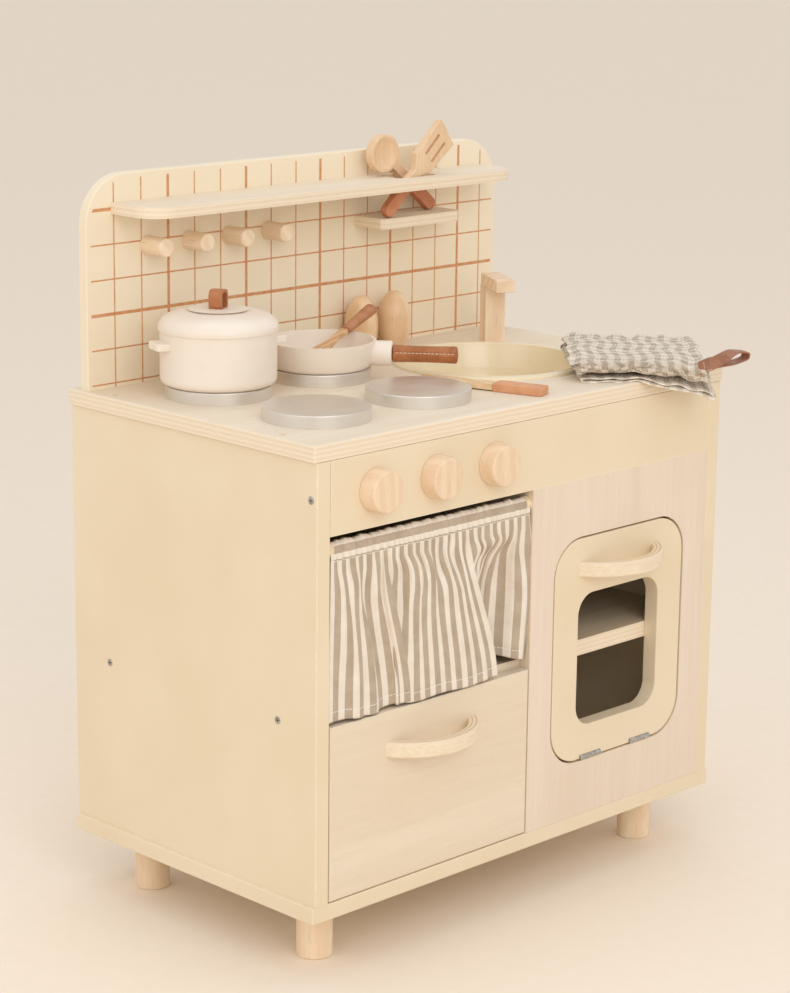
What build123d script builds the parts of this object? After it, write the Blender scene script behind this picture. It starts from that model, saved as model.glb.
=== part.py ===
# Toy play kitchen: a low wooden cabinet with a curtained bay, a drawer and an
# oven, a worktop with four hob discs and a round sink, a tiled splashback with
# two shelves and hanging pegs, and the loose pots, tools and cloth that go on it.
# Millimetres, +Z up, the front faces -Y.  The origin lies on the floor under the
# middle of everything, the overhanging cloth included.
from build123d import *
from math import cos, sin, tan, radians, sqrt
import os

os.makedirs("parts", exist_ok=True)

# ---------------------------------------------------------------- main sizes
cab_w = 520.0            # cabinet over its two side panels
cab_d = 320.0            # cabinet front to back
board = 15.0             # thickness of the structural boards
lip = 3.0                # worktop and base board stand out past the sides
leg_h = 54.0
leg_r = 16.0
leg_in_x = 46.0          # leg centre in from the side
leg_in_y = 50.0          # leg centre in from the front and the back
body_h = 385.0           # base board to worktop
apron_h = 64.0           # board that carries the knobs
bay_w = 246.5            # clear width of the left bay
back_t = 6.0
cloth_in_x = 448.0       # middle of the cloth from the left side
cloth_in_y = 43.0        # middle of the cloth from the front
cloth_turn = radians(47)
cloth_l = 136.5
cloth_w = 123.5
cloth_r = 6.0

# ------------------------------------------------------------ derived levels
half_l = cloth_l / 2 - cloth_r
half_w = cloth_w / 2 - cloth_r
reach_x = half_l * cos(cloth_turn) + half_w * sin(cloth_turn) + cloth_r
reach_y = half_l * sin(cloth_turn) + half_w * cos(cloth_turn) + cloth_r
cloth_right = cloth_in_x + reach_x - cab_w
cloth_front = reach_y - cloth_in_y
x_left = -(cab_w + cloth_right - lip) / 2
x_right = x_left + cab_w
y_front = -(cab_d - cloth_front) / 2
y_back = y_front + cab_d
x_in_left = x_left + board
x_in_right = x_right - board
x_div = x_in_left + bay_w
y_panel = y_back - back_t
z_base = leg_h + board
z_under = z_base + body_h
z_top = z_under + board
z_apron = z_under - apron_h
inner_w = cab_w - 2 * board
bay_mid = x_in_left + bay_w / 2

# -------------------------------------------------------------- shelf sizes
shelf_z = z_base + 148.0         # underside of both inner shelves
shelf_set = 13.0                 # left shelf stands back behind the curtain
stop_gap = 0.4                   # oven shelf stops the door

# --------------------------------------------------------------- door sizes
door_w = 178.0
door_h = 211.0
door_r = 34.0
door_gap = 2.0
door_x = x_div + 121.0           # middle of the door
door_z = z_base + 54.2           # lower edge of the door
window_w = 112.0
window_h = 126.0
window_r = 20.0
window_z = door_z + 31.8
hinge_len = 28.0
hinge_half = 35.0                # hinges either side of the middle
hinge_r = 2.6
hinge_pin_r = 1.2
hinge_fit = 0.05
leaf_t = 1.2
leaf_deep = 12.4

# ------------------------------------------------------------- handle sizes
handle_half = 57.0
handle_out = 32.0
handle_t = 11.0
handle_h = 14.0
door_handle_z = door_z + 182.0
drawer_handle_z = z_base + 121.5

# ------------------------------------------------------------- drawer sizes
front_t = 12.0
front_gap = 1.2
drawer_top = z_base + 156.0
drawer_side_h = 120.0
drawer_deep = 280.0
drawer_wall = 10.0
drawer_floor_t = 5.0
drawer_side_gap = 2.0

# --------------------------------------------------------------- knob sizes
knob_r = 19.0
knob_t = 16.0
knob_step = 71.5
knob_gap = 0.3
knob_z = z_under - apron_h / 2
knob_screw_r = 2.0
knob_bore_fit = 0.08

# -------------------------------------------------------------- curtain sizes
rod_r = 4.0
rod_y = y_front + 8.0
rod_z = z_apron - 13.0
rod_fit = 0.3
cup_r = 6.5
cup_t = 6.0
curtain_t = 14.0
curtain_front = 3.5
curtain_low = drawer_top + 1.5
curtain_head = 19.0
fold_left = bay_mid + 20.0       # the right part hangs in a fold further back
fold_deep = 14.0
fold_low = shelf_z + board + 3.0
fold_high = rod_z - 22.0

# ---------------------------------------------------------- splashback sizes
wall_y = y_front + 296.0
wall_t = 10.0
wall_h = 190.0
wall_r = 45.0
rack_w = 464.0
rack_d = 58.0
rack_t = 10.0
rack_z = z_top + 165.0
slot_w = 50.0
slot_d = 31.0
slot_x = x_left + 372.0
slot_y = wall_y - 24.5
perch_w = 105.0
perch_d = 40.0
perch_z = z_top + 128.0
perch_x = x_left + 377.0
peg_r = 8.5
peg_len = 28.0
peg_step = 48.0
peg_x = x_left + 69.0
peg_z = z_top + 124.0

# ---------------------------------------------------------------- hob and sink
disc_r = 47.0
disc_t = 11.0
disc_x = x_left + 74.0
disc_y = y_front + 80.0
disc_step_x = 122.0
disc_step_y = 126.0
sink_x = x_left + 370.0
sink_y = y_front + 158.0
sink_r = 94.0
sink_in_r = 84.0
sink_wall = 2.5
sink_deep = 46.0
sink_fit = 0.5
tap_x = x_left + 453.0
tap_y = y_front + 233.0
tap_turn = 240.0
tap_s = 20.0
tap_h = 54.0
spout_l = 53.0
spout_w = 19.0
spout_t = 12.0

# ---------------------------------------------------------------- cookware
pot_x = disc_x
pot_y = disc_y + disc_step_y
pan_x = disc_x + disc_step_x
pan_y = pot_y
cook_z = z_top + disc_t
pot_r = 51.5
pot_h = 49.0
wall = 2.5
lid_h = 18.0
lug_turn = 162.0
lug_out = 10.5
lug_w = 24.0
lug_t = 6.5
pan_r = 51.0
pan_base_r = 46.0
pan_h = 25.0
pan_turn = -50.0
socket_r = 11.5
socket_end = 66.0
grip_r = 8.0
grip_len = 60.0


# ===================================================================== cabinet
with BuildPart() as base_board:
    with BuildSketch(Plane.XY.offset(leg_h)):
        with Locations(((x_left + x_right) / 2, (y_front + y_back) / 2)):
            Rectangle(cab_w + 2 * lip, cab_d)
    extrude(amount=board)
    fillet(base_board.edges(), 1.5)
    with BuildSketch(Plane.XY.offset(leg_h)):
        with Locations(((x_left + x_right) / 2, (y_front + y_back) / 2)):
            with GridLocations(cab_w - 2 * leg_in_x, cab_d - 2 * leg_in_y, 2, 2):
                Circle(5.0)
    extrude(amount=10.0, mode=Mode.SUBTRACT)
base_board.part.label = "base_board"


def leg(x, y):
    """A round leg with a dowel that goes up into the base board."""
    with BuildPart() as one_leg:
        with BuildSketch(Plane((x, y, 0))):
            Circle(leg_r)
        extrude(amount=leg_h)
        fillet(one_leg.edges().sort_by(Axis.Z)[0], 1.5)
        with BuildSketch(Plane((x, y, leg_h))):
            Circle(4.95)
        extrude(amount=9.5)
    return one_leg


leg_front_left = leg(x_left + leg_in_x, y_front + leg_in_y)
leg_front_left.part.label = "leg_front_left"
leg_front_right = leg(x_right - leg_in_x, y_front + leg_in_y)
leg_front_right.part.label = "leg_front_right"
leg_rear_left = leg(x_left + leg_in_x, y_back - leg_in_y)
leg_rear_left.part.label = "leg_rear_left"
leg_rear_right = leg(x_right - leg_in_x, y_back - leg_in_y)
leg_rear_right.part.label = "leg_rear_right"

# Screws through each side: one into the apron and two into the shelf inside.
screw_shank = 1.75
screw_head = 3.6
screw_len = 32.0
screw_spots = [
    (y_front + board / 2, knob_z),
    (y_front + 47.5, shelf_z + board / 2),
    (y_front + 271.0, shelf_z + board / 2),
]


def side_panel(x, outer_x, inward):
    """A side panel, countersunk for its three screws from the outer face."""
    with BuildPart() as panel:
        with BuildSketch(Plane.XY.offset(z_base)):
            with Locations((x, (y_front + y_back) / 2)):
                Rectangle(board, cab_d)
        extrude(amount=body_h)
        fillet(panel.edges().filter_by(Axis.Z), 1.0)
        for y, z in screw_spots:
            seat = Plane((outer_x, y, z), x_dir=(0, 1, 0), z_dir=(inward, 0, 0))
            with BuildSketch(seat):
                Circle(screw_shank + 0.05)
            extrude(amount=board, mode=Mode.SUBTRACT)
            with BuildSketch(seat):
                Circle(screw_head + 0.05)
            with BuildSketch(seat.offset(2.4)):
                Circle(screw_shank + 0.05)
            loft(mode=Mode.SUBTRACT)
    return panel


left_side = side_panel(x_left + board / 2, x_left, 1)
left_side.part.label = "left_side"
right_side = side_panel(x_right - board / 2, x_right, -1)
right_side.part.label = "right_side"

with BuildPart() as divider:
    with BuildSketch(Plane.XY.offset(z_base)):
        with Locations((x_div + board / 2, (y_front + board + y_panel) / 2)):
            Rectangle(board, y_panel - y_front - board)
    extrude(amount=body_h)
divider.part.label = "divider"

with BuildPart() as back_panel:
    with BuildSketch(Plane.XY.offset(z_base)):
        with Locations(((x_left + x_right) / 2, y_back - back_t / 2)):
            Rectangle(inner_w, back_t)
    extrude(amount=body_h)
back_panel.part.label = "back_panel"


def screw_holes(part_edge_x, inward, spots):
    """Blind holes in a board's end grain for the side screws."""
    for y, z in spots:
        with BuildSketch(Plane((part_edge_x, y, z), x_dir=(0, 1, 0), z_dir=(inward, 0, 0))) as hole:
            Circle(screw_shank + 0.05)
        extrude(hole.sketch, amount=screw_len - board + 1.0, mode=Mode.SUBTRACT)


with BuildPart() as apron:
    with BuildSketch(Plane.XY.offset(z_apron)):
        with Locations(((x_left + x_right) / 2, y_front + board / 2)):
            Rectangle(inner_w, board)
    extrude(amount=apron_h)
    with BuildSketch(Plane.XZ.offset(-y_front)):
        with Locations((bay_mid, knob_z)):
            with GridLocations(knob_step, 1, 3, 1):
                Circle(knob_screw_r + knob_bore_fit)
    extrude(amount=-board, mode=Mode.SUBTRACT)
    screw_holes(x_in_left, 1, screw_spots[:1])
    screw_holes(x_in_right, -1, screw_spots[:1])
apron.part.label = "apron"

# The fixed panel round the oven door, with its door opening.
with BuildPart() as oven_surround:
    with BuildSketch(Plane.XZ.offset(-(y_front + board))):
        with Locations(((x_div + x_in_right) / 2, (z_base + z_apron) / 2)):
            Rectangle(x_in_right - x_div, z_apron - z_base)
        with Locations((door_x, door_z + door_h / 2)):
            RectangleRounded(
                door_w + 2 * door_gap,
                door_h + 2 * door_gap,
                door_r + door_gap,
                mode=Mode.SUBTRACT,
            )
    extrude(amount=board)
oven_surround.part.label = "oven_surround"

with BuildPart() as bay_shelf:
    with BuildSketch(Plane.XY.offset(shelf_z)):
        with Locations((bay_mid, (y_front + shelf_set + y_panel) / 2)):
            Rectangle(bay_w, y_panel - y_front - shelf_set)
    extrude(amount=board)
    screw_holes(x_in_left, 1, screw_spots[1:])
bay_shelf.part.label = "bay_shelf"

oven_w = x_in_right - x_div - board
with BuildPart() as oven_shelf:
    with BuildSketch(Plane.XY.offset(shelf_z)):
        with Locations((x_in_right - oven_w / 2, (y_front + board + stop_gap + y_panel) / 2)):
            Rectangle(oven_w, y_panel - y_front - board - stop_gap)
    extrude(amount=board)
    screw_holes(x_in_right, -1, screw_spots[1:])
oven_shelf.part.label = "oven_shelf"

with BuildPart() as side_screws:
    for x, inward in ((x_left, 1), (x_right, -1)):
        for y, z in screw_spots:
            seat = Plane((x, y, z), x_dir=(0, 1, 0), z_dir=(inward, 0, 0))
            with BuildSketch(seat):
                Circle(screw_shank)
            extrude(amount=screw_len)
            with BuildSketch(seat):
                Circle(screw_head)
            with BuildSketch(seat.offset(2.4)):
                Circle(screw_shank)
            loft()
            with BuildSketch(seat):
                Rectangle(4.4, 0.9)
                Rectangle(0.9, 4.4)
            extrude(amount=1.4, mode=Mode.SUBTRACT)
side_screws.part.label = "side_screws"

# ===================================================================== worktop
plug_r = 2.8
plug_spots = [
    (x_left + board / 2, y_front + 50.0),
    (x_left + board / 2, y_front + 268.0),
    (x_right - board / 2, y_front + 50.0),
    (x_right - board / 2, y_front + 268.0),
]

with BuildPart() as worktop:
    with BuildSketch(Plane.XY.offset(z_under)):
        with Locations(((x_left + x_right) / 2, (y_front + y_back) / 2)):
            Rectangle(cab_w + 2 * lip, cab_d)
    extrude(amount=board)
    fillet(worktop.edges(), 1.5)
    with BuildSketch(Plane.XY.offset(z_under)):
        with Locations((sink_x, sink_y)):
            Circle(sink_in_r + sink_wall + sink_fit)
    extrude(amount=board, mode=Mode.SUBTRACT)
    with BuildSketch(Plane.XY.offset(z_top - 6)):
        with Locations(*plug_spots):
            Circle(plug_r)
    extrude(amount=6, mode=Mode.SUBTRACT)
worktop.part.label = "worktop"

with BuildPart() as worktop_plugs:
    with BuildSketch(Plane.XY.offset(z_top - 5.8)):
        with Locations(*plug_spots):
            Circle(plug_r - 0.05)
    extrude(amount=5.9)
worktop_plugs.part.label = "worktop_plugs"

with BuildPart() as hob_discs:
    with BuildSketch(Plane.XY.offset(z_top)):
        with Locations((disc_x + disc_step_x / 2, disc_y + disc_step_y / 2)):
            with GridLocations(disc_step_x, disc_step_y, 2, 2):
                Circle(disc_r)
    extrude(amount=disc_t)
    fillet(hob_discs.faces().group_by(Axis.Z)[-1].edges(), 0.8)
hob_discs.part.label = "hob_discs"

with BuildPart() as sink_basin:
    with BuildSketch(Plane((sink_x, sink_y, z_top), x_dir=(1, 0, 0), z_dir=(0, -1, 0))):
        with BuildLine():
            Line((sink_in_r + sink_wall, 0), (sink_r, 0))
            Spline(
                (sink_r, 0),
                (sink_r - 1.2, 2.2),
                (sink_r - 5, 2.9),
                (sink_in_r + 2, 2.6),
                (sink_in_r, 0.6),
                tangents=((0, 1), (-0.1, -1)),
            )
            Line((sink_in_r, 0.6), (sink_in_r - 5, -0.45 * sink_deep))
            Spline(
                (sink_in_r - 5, -0.45 * sink_deep),
                (sink_in_r - 11, -0.8 * sink_deep),
                (sink_in_r - 26, -sink_deep + sink_wall + 1),
                (0, -sink_deep + sink_wall),
                tangents=((-0.2, -1), (-1, 0)),
            )
            Line((0, -sink_deep + sink_wall), (0, -sink_deep))
            Spline(
                (0, -sink_deep),
                (sink_in_r - 25, -sink_deep + 1),
                (sink_in_r - 8.5, -0.8 * sink_deep),
                (sink_in_r - 5 + sink_wall, -0.45 * sink_deep),
                tangents=((1, 0), (0.2, 1)),
            )
            Line((sink_in_r - 5 + sink_wall, -0.45 * sink_deep), (sink_in_r + sink_wall, 0))
        make_face()
    revolve(axis=Axis((sink_x, sink_y, 0), (0, 0, 1)))
sink_basin.part.label = "sink_basin"

tap_dir = (cos(radians(tap_turn)), sin(radians(tap_turn)), 0)
tap_plane = Plane((tap_x, tap_y, z_top), x_dir=tap_dir, z_dir=(0, 0, 1))

with BuildPart() as tap_post:
    with BuildSketch(tap_plane):
        Rectangle(tap_s, tap_s)
    extrude(amount=tap_h)
    fillet(tap_post.edges().filter_by(Axis.Z), 0.8)
tap_post.part.label = "tap_post"

with BuildPart() as tap_spout:
    with BuildSketch(tap_plane.offset(tap_h)):
        with Locations((spout_l / 2 - tap_s / 2, 0)):
            Rectangle(spout_l, spout_w)
    extrude(amount=spout_t)
    fillet(tap_spout.edges(), 0.8)
tap_spout.part.label = "tap_spout"

# ================================================================== splashback
with BuildPart() as splashback:
    with BuildSketch(Plane.XZ.offset(-(wall_y + wall_t))):
        with Locations(((x_left + x_right) / 2, z_top + wall_h / 2)):
            Rectangle(cab_w, wall_h)
    extrude(amount=wall_t)
    tops = splashback.edges().filter_by(Axis.Y).group_by(Axis.Z)[-1]
    fillet(tops, wall_r)
    fillet(splashback.faces().sort_by(Axis.Y)[0].edges().filter_by(lambda e: e.center().Z > z_top + 1), 1.2)
splashback.part.label = "splashback"

# The long shelf on the splashback, with a slot that the tools hang through.
with BuildPart() as rack_shelf:
    with BuildSketch(Plane.XY.offset(rack_z - rack_t)):
        with Locations(((x_left + x_right) / 2, wall_y - rack_d / 2)):
            Rectangle(rack_w, rack_d)
        with Locations((slot_x, slot_y)):
            RectangleRounded(slot_w, slot_d, 6.0, mode=Mode.SUBTRACT)
    extrude(amount=rack_t)
    ends = rack_shelf.edges().filter_by(Axis.Z).group_by(Axis.Y)[0]
    fillet(ends, 25.0)
    fillet(rack_shelf.faces().sort_by(Axis.Z)[-1].outer_wire().edges().sort_by(Axis.Y)[:3], 1.0)
rack_shelf.part.label = "rack_shelf"

with BuildPart() as tool_perch:
    with BuildSketch(Plane.XY.offset(perch_z - rack_t)):
        with Locations((perch_x, wall_y - perch_d / 2)):
            Rectangle(perch_w, perch_d)
    extrude(amount=rack_t)
    chamfer(tool_perch.edges().filter_by(Axis.Z).group_by(Axis.Y)[0], 4.0)
tool_perch.part.label = "tool_perch"

with BuildPart() as wall_pegs:
    with BuildSketch(Plane.XZ.offset(-wall_y)):
        for i in range(4):
            with Locations((peg_x + i * peg_step, peg_z)):
                Circle(peg_r)
    extrude(amount=peg_len)
    fillet(wall_pegs.faces().group_by(Axis.Y)[0].edges(), 1.8)
wall_pegs.part.label = "wall_pegs"


# ================================================================= bow handles
def bow_handle(x, z):
    """A bent wooden handle, a bow in plan with both feet on the front."""
    r_out = (handle_half**2 + handle_out**2) / (2 * handle_out)
    middle = y_front + r_out - handle_out
    with BuildPart() as bow:
        with BuildSketch(Plane.XY.offset(z - handle_h / 2)):
            with Locations((x, middle)):
                Circle(r_out)
                Circle(r_out - handle_t, mode=Mode.SUBTRACT)
            with Locations((x, y_front + 2 * r_out)):
                Rectangle(4 * r_out, 4 * r_out, mode=Mode.SUBTRACT)
        extrude(amount=handle_h)
        fillet(bow.edges().filter_by(GeomType.CIRCLE), 2.5)
    return bow


# ==================================================================== oven door
hinge_y = y_front + 0.6
hinge_z = door_z + 1.0
notch_h = 1.0 + hinge_r + 0.1
knuckle = (hinge_len - 0.6) / 3

with BuildPart() as oven_door:
    with BuildSketch(Plane.XZ.offset(-(y_front + board))):
        with Locations((door_x, door_z + door_h / 2)):
            RectangleRounded(door_w, door_h, door_r)
        with Locations((door_x, window_z + window_h / 2)):
            RectangleRounded(window_w, window_h, window_r, mode=Mode.SUBTRACT)
        with Locations((door_x - hinge_half, door_z), (door_x + hinge_half, door_z)):
            Rectangle(hinge_len + 0.8, 2 * notch_h, mode=Mode.SUBTRACT)
    extrude(amount=board)
    fillet(oven_door.faces().sort_by(Axis.Y)[0].edges().filter_by(lambda e: e.center().Z > door_z + 12), 1.0)
oven_door.part.label = "oven_door"

door_handle = bow_handle(door_x, door_handle_z)
door_handle.part.label = "door_handle"


def knuckles(middles, length, bore):
    """Hinge barrels on the door's axis, bored for the pin."""
    for x in middles:
        with BuildSketch(Plane((x - length / 2, hinge_y, hinge_z), x_dir=(0, 1, 0), z_dir=(1, 0, 0))) as barrel:
            Circle(hinge_r)
        extrude(barrel.sketch, amount=length)
    for x in middles:
        with BuildSketch(Plane((x - length / 2, hinge_y, hinge_z), x_dir=(0, 1, 0), z_dir=(1, 0, 0))) as eye:
            Circle(bore)
        extrude(eye.sketch, amount=length, mode=Mode.SUBTRACT)


def leaf(x, width, z, near, far):
    """A flat hinge leaf running back from the barrel."""
    with BuildSketch(Plane.XY.offset(z)) as plate:
        with Locations((x, (near + far) / 2)):
            Rectangle(width, far - near)
    extrude(plate.sketch, amount=leaf_t)


hinge_mids = (door_x - hinge_half, door_x + hinge_half)
frame_leaf_z = door_z - door_gap
door_leaf_z = hinge_z + hinge_r - leaf_t

with BuildPart() as hinge_frame_leaves:
    for mid in hinge_mids:
        for side in (-1, 1):
            leaf(mid + side * (knuckle + 0.3), knuckle, frame_leaf_z, hinge_y, hinge_y + 3.5)
        leaf(mid, hinge_len, frame_leaf_z, hinge_y + 3.2, hinge_y + leaf_deep)
    outer = [mid + side * (knuckle + 0.3) for mid in hinge_mids for side in (-1, 1)]
    knuckles(outer, knuckle, hinge_pin_r + hinge_fit)
hinge_frame_leaves.part.label = "hinge_frame_leaves"

with BuildPart() as hinge_door_leaves:
    for mid in hinge_mids:
        leaf(mid, knuckle, door_leaf_z, hinge_y, hinge_y + 3.5)
        leaf(mid, hinge_len, door_leaf_z, hinge_y + 3.2, hinge_y + leaf_deep)
    knuckles(hinge_mids, knuckle, hinge_pin_r + hinge_fit)
hinge_door_leaves.part.label = "hinge_door_leaves"

with BuildPart() as hinge_pins:
    for mid in hinge_mids:
        with BuildSketch(Plane((mid - hinge_len / 2, hinge_y, hinge_z), x_dir=(0, 1, 0), z_dir=(1, 0, 0))):
            Circle(hinge_pin_r)
        extrude(amount=hinge_len)
hinge_pins.part.label = "hinge_pins"

# ====================================================================== drawer
box_left = x_in_left + drawer_side_gap
box_right = x_div - drawer_side_gap
box_front = y_front + front_t
box_back = box_front + drawer_deep


def upright(x, y, width, depth, height):
    """A board standing on the base board."""
    with BuildPart() as piece:
        with BuildSketch(Plane.XY.offset(z_base)):
            with Locations((x + width / 2, y + depth / 2)):
                Rectangle(width, depth)
        extrude(amount=height)
    return piece


with BuildPart() as drawer_front:
    with BuildSketch(Plane.XY.offset(z_base + front_gap)):
        with Locations((bay_mid, y_front + front_t / 2)):
            Rectangle(bay_w - 2 * front_gap, front_t)
    extrude(amount=drawer_top - z_base - front_gap)
    fillet(drawer_front.faces().sort_by(Axis.Y)[0].edges(), 1.0)
drawer_front.part.label = "drawer_front"

drawer_left = upright(box_left, box_front, drawer_wall, drawer_deep, drawer_side_h)
drawer_left.part.label = "drawer_left"
drawer_right = upright(box_right - drawer_wall, box_front, drawer_wall, drawer_deep, drawer_side_h)
drawer_right.part.label = "drawer_right"
drawer_in_w = box_right - box_left - 2 * drawer_wall
drawer_back = upright(box_left + drawer_wall, box_back - drawer_wall, drawer_in_w, drawer_wall, drawer_side_h)
drawer_back.part.label = "drawer_back"

with BuildPart() as drawer_floor:
    with BuildSketch(Plane.XY.offset(z_base + 5)):
        with Locations((bay_mid, (box_front + box_back - drawer_wall) / 2)):
            Rectangle(drawer_in_w, drawer_deep - drawer_wall)
    extrude(amount=drawer_floor_t)
drawer_floor.part.label = "drawer_floor"

drawer_handle = bow_handle(bay_mid, drawer_handle_z)
drawer_handle.part.label = "drawer_handle"


# ======================================================================= knobs
def knob(x):
    """A turned wooden knob, slightly tapered, drilled from behind."""
    face = Plane((x, y_front - knob_gap, knob_z), x_dir=(1, 0, 0), z_dir=(0, -1, 0))
    with BuildPart() as turned:
        with BuildSketch(face):
            Circle(knob_r)
        extrude(amount=knob_t, taper=4)
        fillet(turned.edges().sort_by(Axis.Y)[0], 1.8)
        with BuildSketch(face):
            Circle(knob_screw_r + 0.02)
        extrude(amount=10.0, mode=Mode.SUBTRACT)
    return turned


def knob_screw(x):
    """The screw that holds a knob, with its head behind the apron."""
    back = Plane((x, y_front + board + knob_gap, knob_z), x_dir=(1, 0, 0), z_dir=(0, -1, 0))
    with BuildPart() as screw:
        with BuildSketch(back):
            Circle(knob_screw_r)
        extrude(amount=board + 2 * knob_gap + 9.5)
        with BuildSketch(back):
            Circle(4.5)
        extrude(amount=-2.6)
    return screw


knob_left = knob(bay_mid - knob_step)
knob_left.part.label = "knob_left"
knob_middle = knob(bay_mid)
knob_middle.part.label = "knob_middle"
knob_right = knob(bay_mid + knob_step)
knob_right.part.label = "knob_right"
knob_screw_left = knob_screw(bay_mid - knob_step)
knob_screw_left.part.label = "knob_screw_left"
knob_screw_middle = knob_screw(bay_mid)
knob_screw_middle.part.label = "knob_screw_middle"
knob_screw_right = knob_screw(bay_mid + knob_step)
knob_screw_right.part.label = "knob_screw_right"

# ===================================================================== curtain
with BuildPart() as curtain_rod:
    with BuildSketch(Plane((x_in_left, rod_y, rod_z), x_dir=(0, 1, 0), z_dir=(1, 0, 0))):
        Circle(rod_r)
    extrude(amount=bay_w)
curtain_rod.part.label = "curtain_rod"

with BuildPart() as rod_cups:
    for x in (x_in_left, x_div - cup_t):
        with BuildSketch(Plane((x, rod_y, rod_z), x_dir=(0, 1, 0), z_dir=(1, 0, 0))):
            Circle(cup_r)
            Circle(rod_r + 0.05, mode=Mode.SUBTRACT)
        extrude(amount=cup_t)
rod_cups.part.label = "rod_cups"

with BuildPart() as curtain:
    with BuildSketch(Plane.XY.offset(curtain_low)):
        with Locations((bay_mid, y_front - curtain_front + curtain_t / 2)):
            Rectangle(bay_w - 2.0, curtain_t)
    extrude(amount=rod_z - curtain_low - curtain_head / 2 - 3.0)
    with BuildSketch(Plane.XY.offset(fold_low)):
        with Locations(((fold_left + x_div - 1.0) / 2, y_front - curtain_front + curtain_t + fold_deep / 2)):
            Rectangle(x_div - 1.0 - fold_left, fold_deep)
    extrude(amount=fold_high - fold_low)
    with BuildSketch(Plane.XY.offset(rod_z - curtain_head / 2 - 3.0)):
        with Locations((bay_mid, rod_y)):
            Rectangle(bay_w - 2 * cup_t - 2.0, 13.0)
    extrude(amount=curtain_head)
    with BuildSketch(Plane((x_in_left, rod_y, rod_z), x_dir=(0, 1, 0), z_dir=(1, 0, 0))):
        Circle(rod_r + rod_fit)
    extrude(amount=bay_w, mode=Mode.SUBTRACT)
curtain.part.label = "curtain"

# ==================================================================== pot, lid
def at(x, y, z):
    """An upright drawing plane through the middle of a turned piece."""
    return Plane((x, y, z), x_dir=(1, 0, 0), z_dir=(0, -1, 0))


def spin(x, y):
    """The upright axis of a turned piece."""
    return Axis((x, y, 0), (0, 0, 1))


with BuildPart() as pot_body:
    with BuildSketch(at(pot_x, pot_y, cook_z)):
        with BuildLine():
            Polyline((0, 0), (pot_r - 7, 0), (pot_r - 5, 1.0))
            Spline((pot_r - 5, 1.0), (pot_r - 1.5, 3.0), (pot_r, 8.0), tangents=((1, 0.2), (0, 1)))
            Polyline((pot_r, 8.0), (pot_r, pot_h), (pot_r - wall, pot_h), (pot_r - wall, 7.5))
            Spline((pot_r - wall, 7.5), (pot_r - 4, 4.4), (pot_r - 8, 3.2), tangents=((0, -1), (-1, 0)))
            Polyline((pot_r - 8, 3.2), (0, 3.2), (0, 0))
        make_face()
    revolve(axis=spin(pot_x, pot_y))
pot_body.part.label = "pot_body"

with BuildPart() as pot_lugs:
    for turn in (lug_turn, lug_turn + 180):
        out = (cos(radians(turn)), sin(radians(turn)), 0)
        with BuildSketch(Plane((pot_x, pot_y, cook_z + pot_h - 15.0), x_dir=out, z_dir=(0, 0, 1))):
            with Locations((pot_r - 2.5 + lug_out / 2, 0)):
                RectangleRounded(lug_out + 5, lug_w, 4.5)
        extrude(amount=lug_t)
    fillet(pot_lugs.faces().filter_by(Axis.Z).edges(), 1.2)
    with BuildSketch(Plane((pot_x, pot_y, cook_z))):
        Circle(pot_r)
    extrude(amount=pot_h, mode=Mode.SUBTRACT)
pot_lugs.part.label = "pot_lugs"

lid_r = pot_r + 1.5
lid_z = cook_z + pot_h
with BuildPart() as pot_lid:
    with BuildSketch(at(pot_x, pot_y, lid_z)):
        with BuildLine():
            Polyline((pot_r - 3.5, 0), (lid_r, 0), (lid_r, 2.2))
            Spline(
                (lid_r, 2.2),
                (lid_r - 2.0, 7.5),
                (lid_r - 12, 13.6),
                (lid_r - 30, 16.8),
                (0, lid_h),
                tangents=((0, 1), (-1, 0)),
            )
            Line((0, lid_h), (0, lid_h - wall))
            Spline(
                (0, lid_h - wall),
                (lid_r - 30, 14.2),
                (lid_r - 13, 11.0),
                (pot_r - 3.5, 4.0),
                tangents=((1, 0), (0.3, -1)),
            )
            Line((pot_r - 3.5, 4.0), (pot_r - 3.5, 0))
        make_face()
    revolve(axis=spin(pot_x, pot_y))
pot_lid.part.label = "pot_lid"

# The lid's leather loop: a strap bent round, standing on the dome.
loop_turn = radians(-62)
loop_axis = (cos(loop_turn), sin(loop_turn), 0)
loop_w = 12.0
loop_l = 16.5
loop_h = 18.5
loop_t = 2.6
loop_plane = Plane(
    (pot_x - loop_axis[0] * loop_w / 2, pot_y - loop_axis[1] * loop_w / 2, lid_z + lid_h - 2.0 + loop_h / 2),
    x_dir=(-loop_axis[1], loop_axis[0], 0),
    z_dir=loop_axis,
)
with BuildPart() as lid_loop:
    with BuildSketch(loop_plane):
        RectangleRounded(loop_l, loop_h, 5.5)
        RectangleRounded(loop_l - 2 * loop_t, loop_h - 2 * loop_t, 3.0, mode=Mode.SUBTRACT)
    extrude(amount=loop_w)
    with BuildSketch(at(pot_x, pot_y, lid_z)):
        with BuildLine():
            Polyline((0, 0), (lid_r, 0), (lid_r, 2.2))
            Spline(
                (lid_r, 2.2),
                (lid_r - 2.0, 7.5),
                (lid_r - 12, 13.6),
                (lid_r - 30, 16.8),
                (0, lid_h),
                tangents=((0, 1), (-1, 0)),
            )
            Line((0, lid_h), (0, 0))
        make_face()
    revolve(axis=spin(pot_x, pot_y), mode=Mode.SUBTRACT)
lid_loop.part.label = "lid_loop"

# ========================================================================= pan
pan_out = (cos(radians(pan_turn)), sin(radians(pan_turn)), 0)
grip_z = cook_z + pan_h - 11.5


def along_pan(start):
    """A plane square to the pan's handle, a given way out from its middle."""
    origin = (pan_x + start * pan_out[0], pan_y + start * pan_out[1], grip_z)
    return Plane(origin, x_dir=(-pan_out[1], pan_out[0], 0), z_dir=pan_out)


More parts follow.
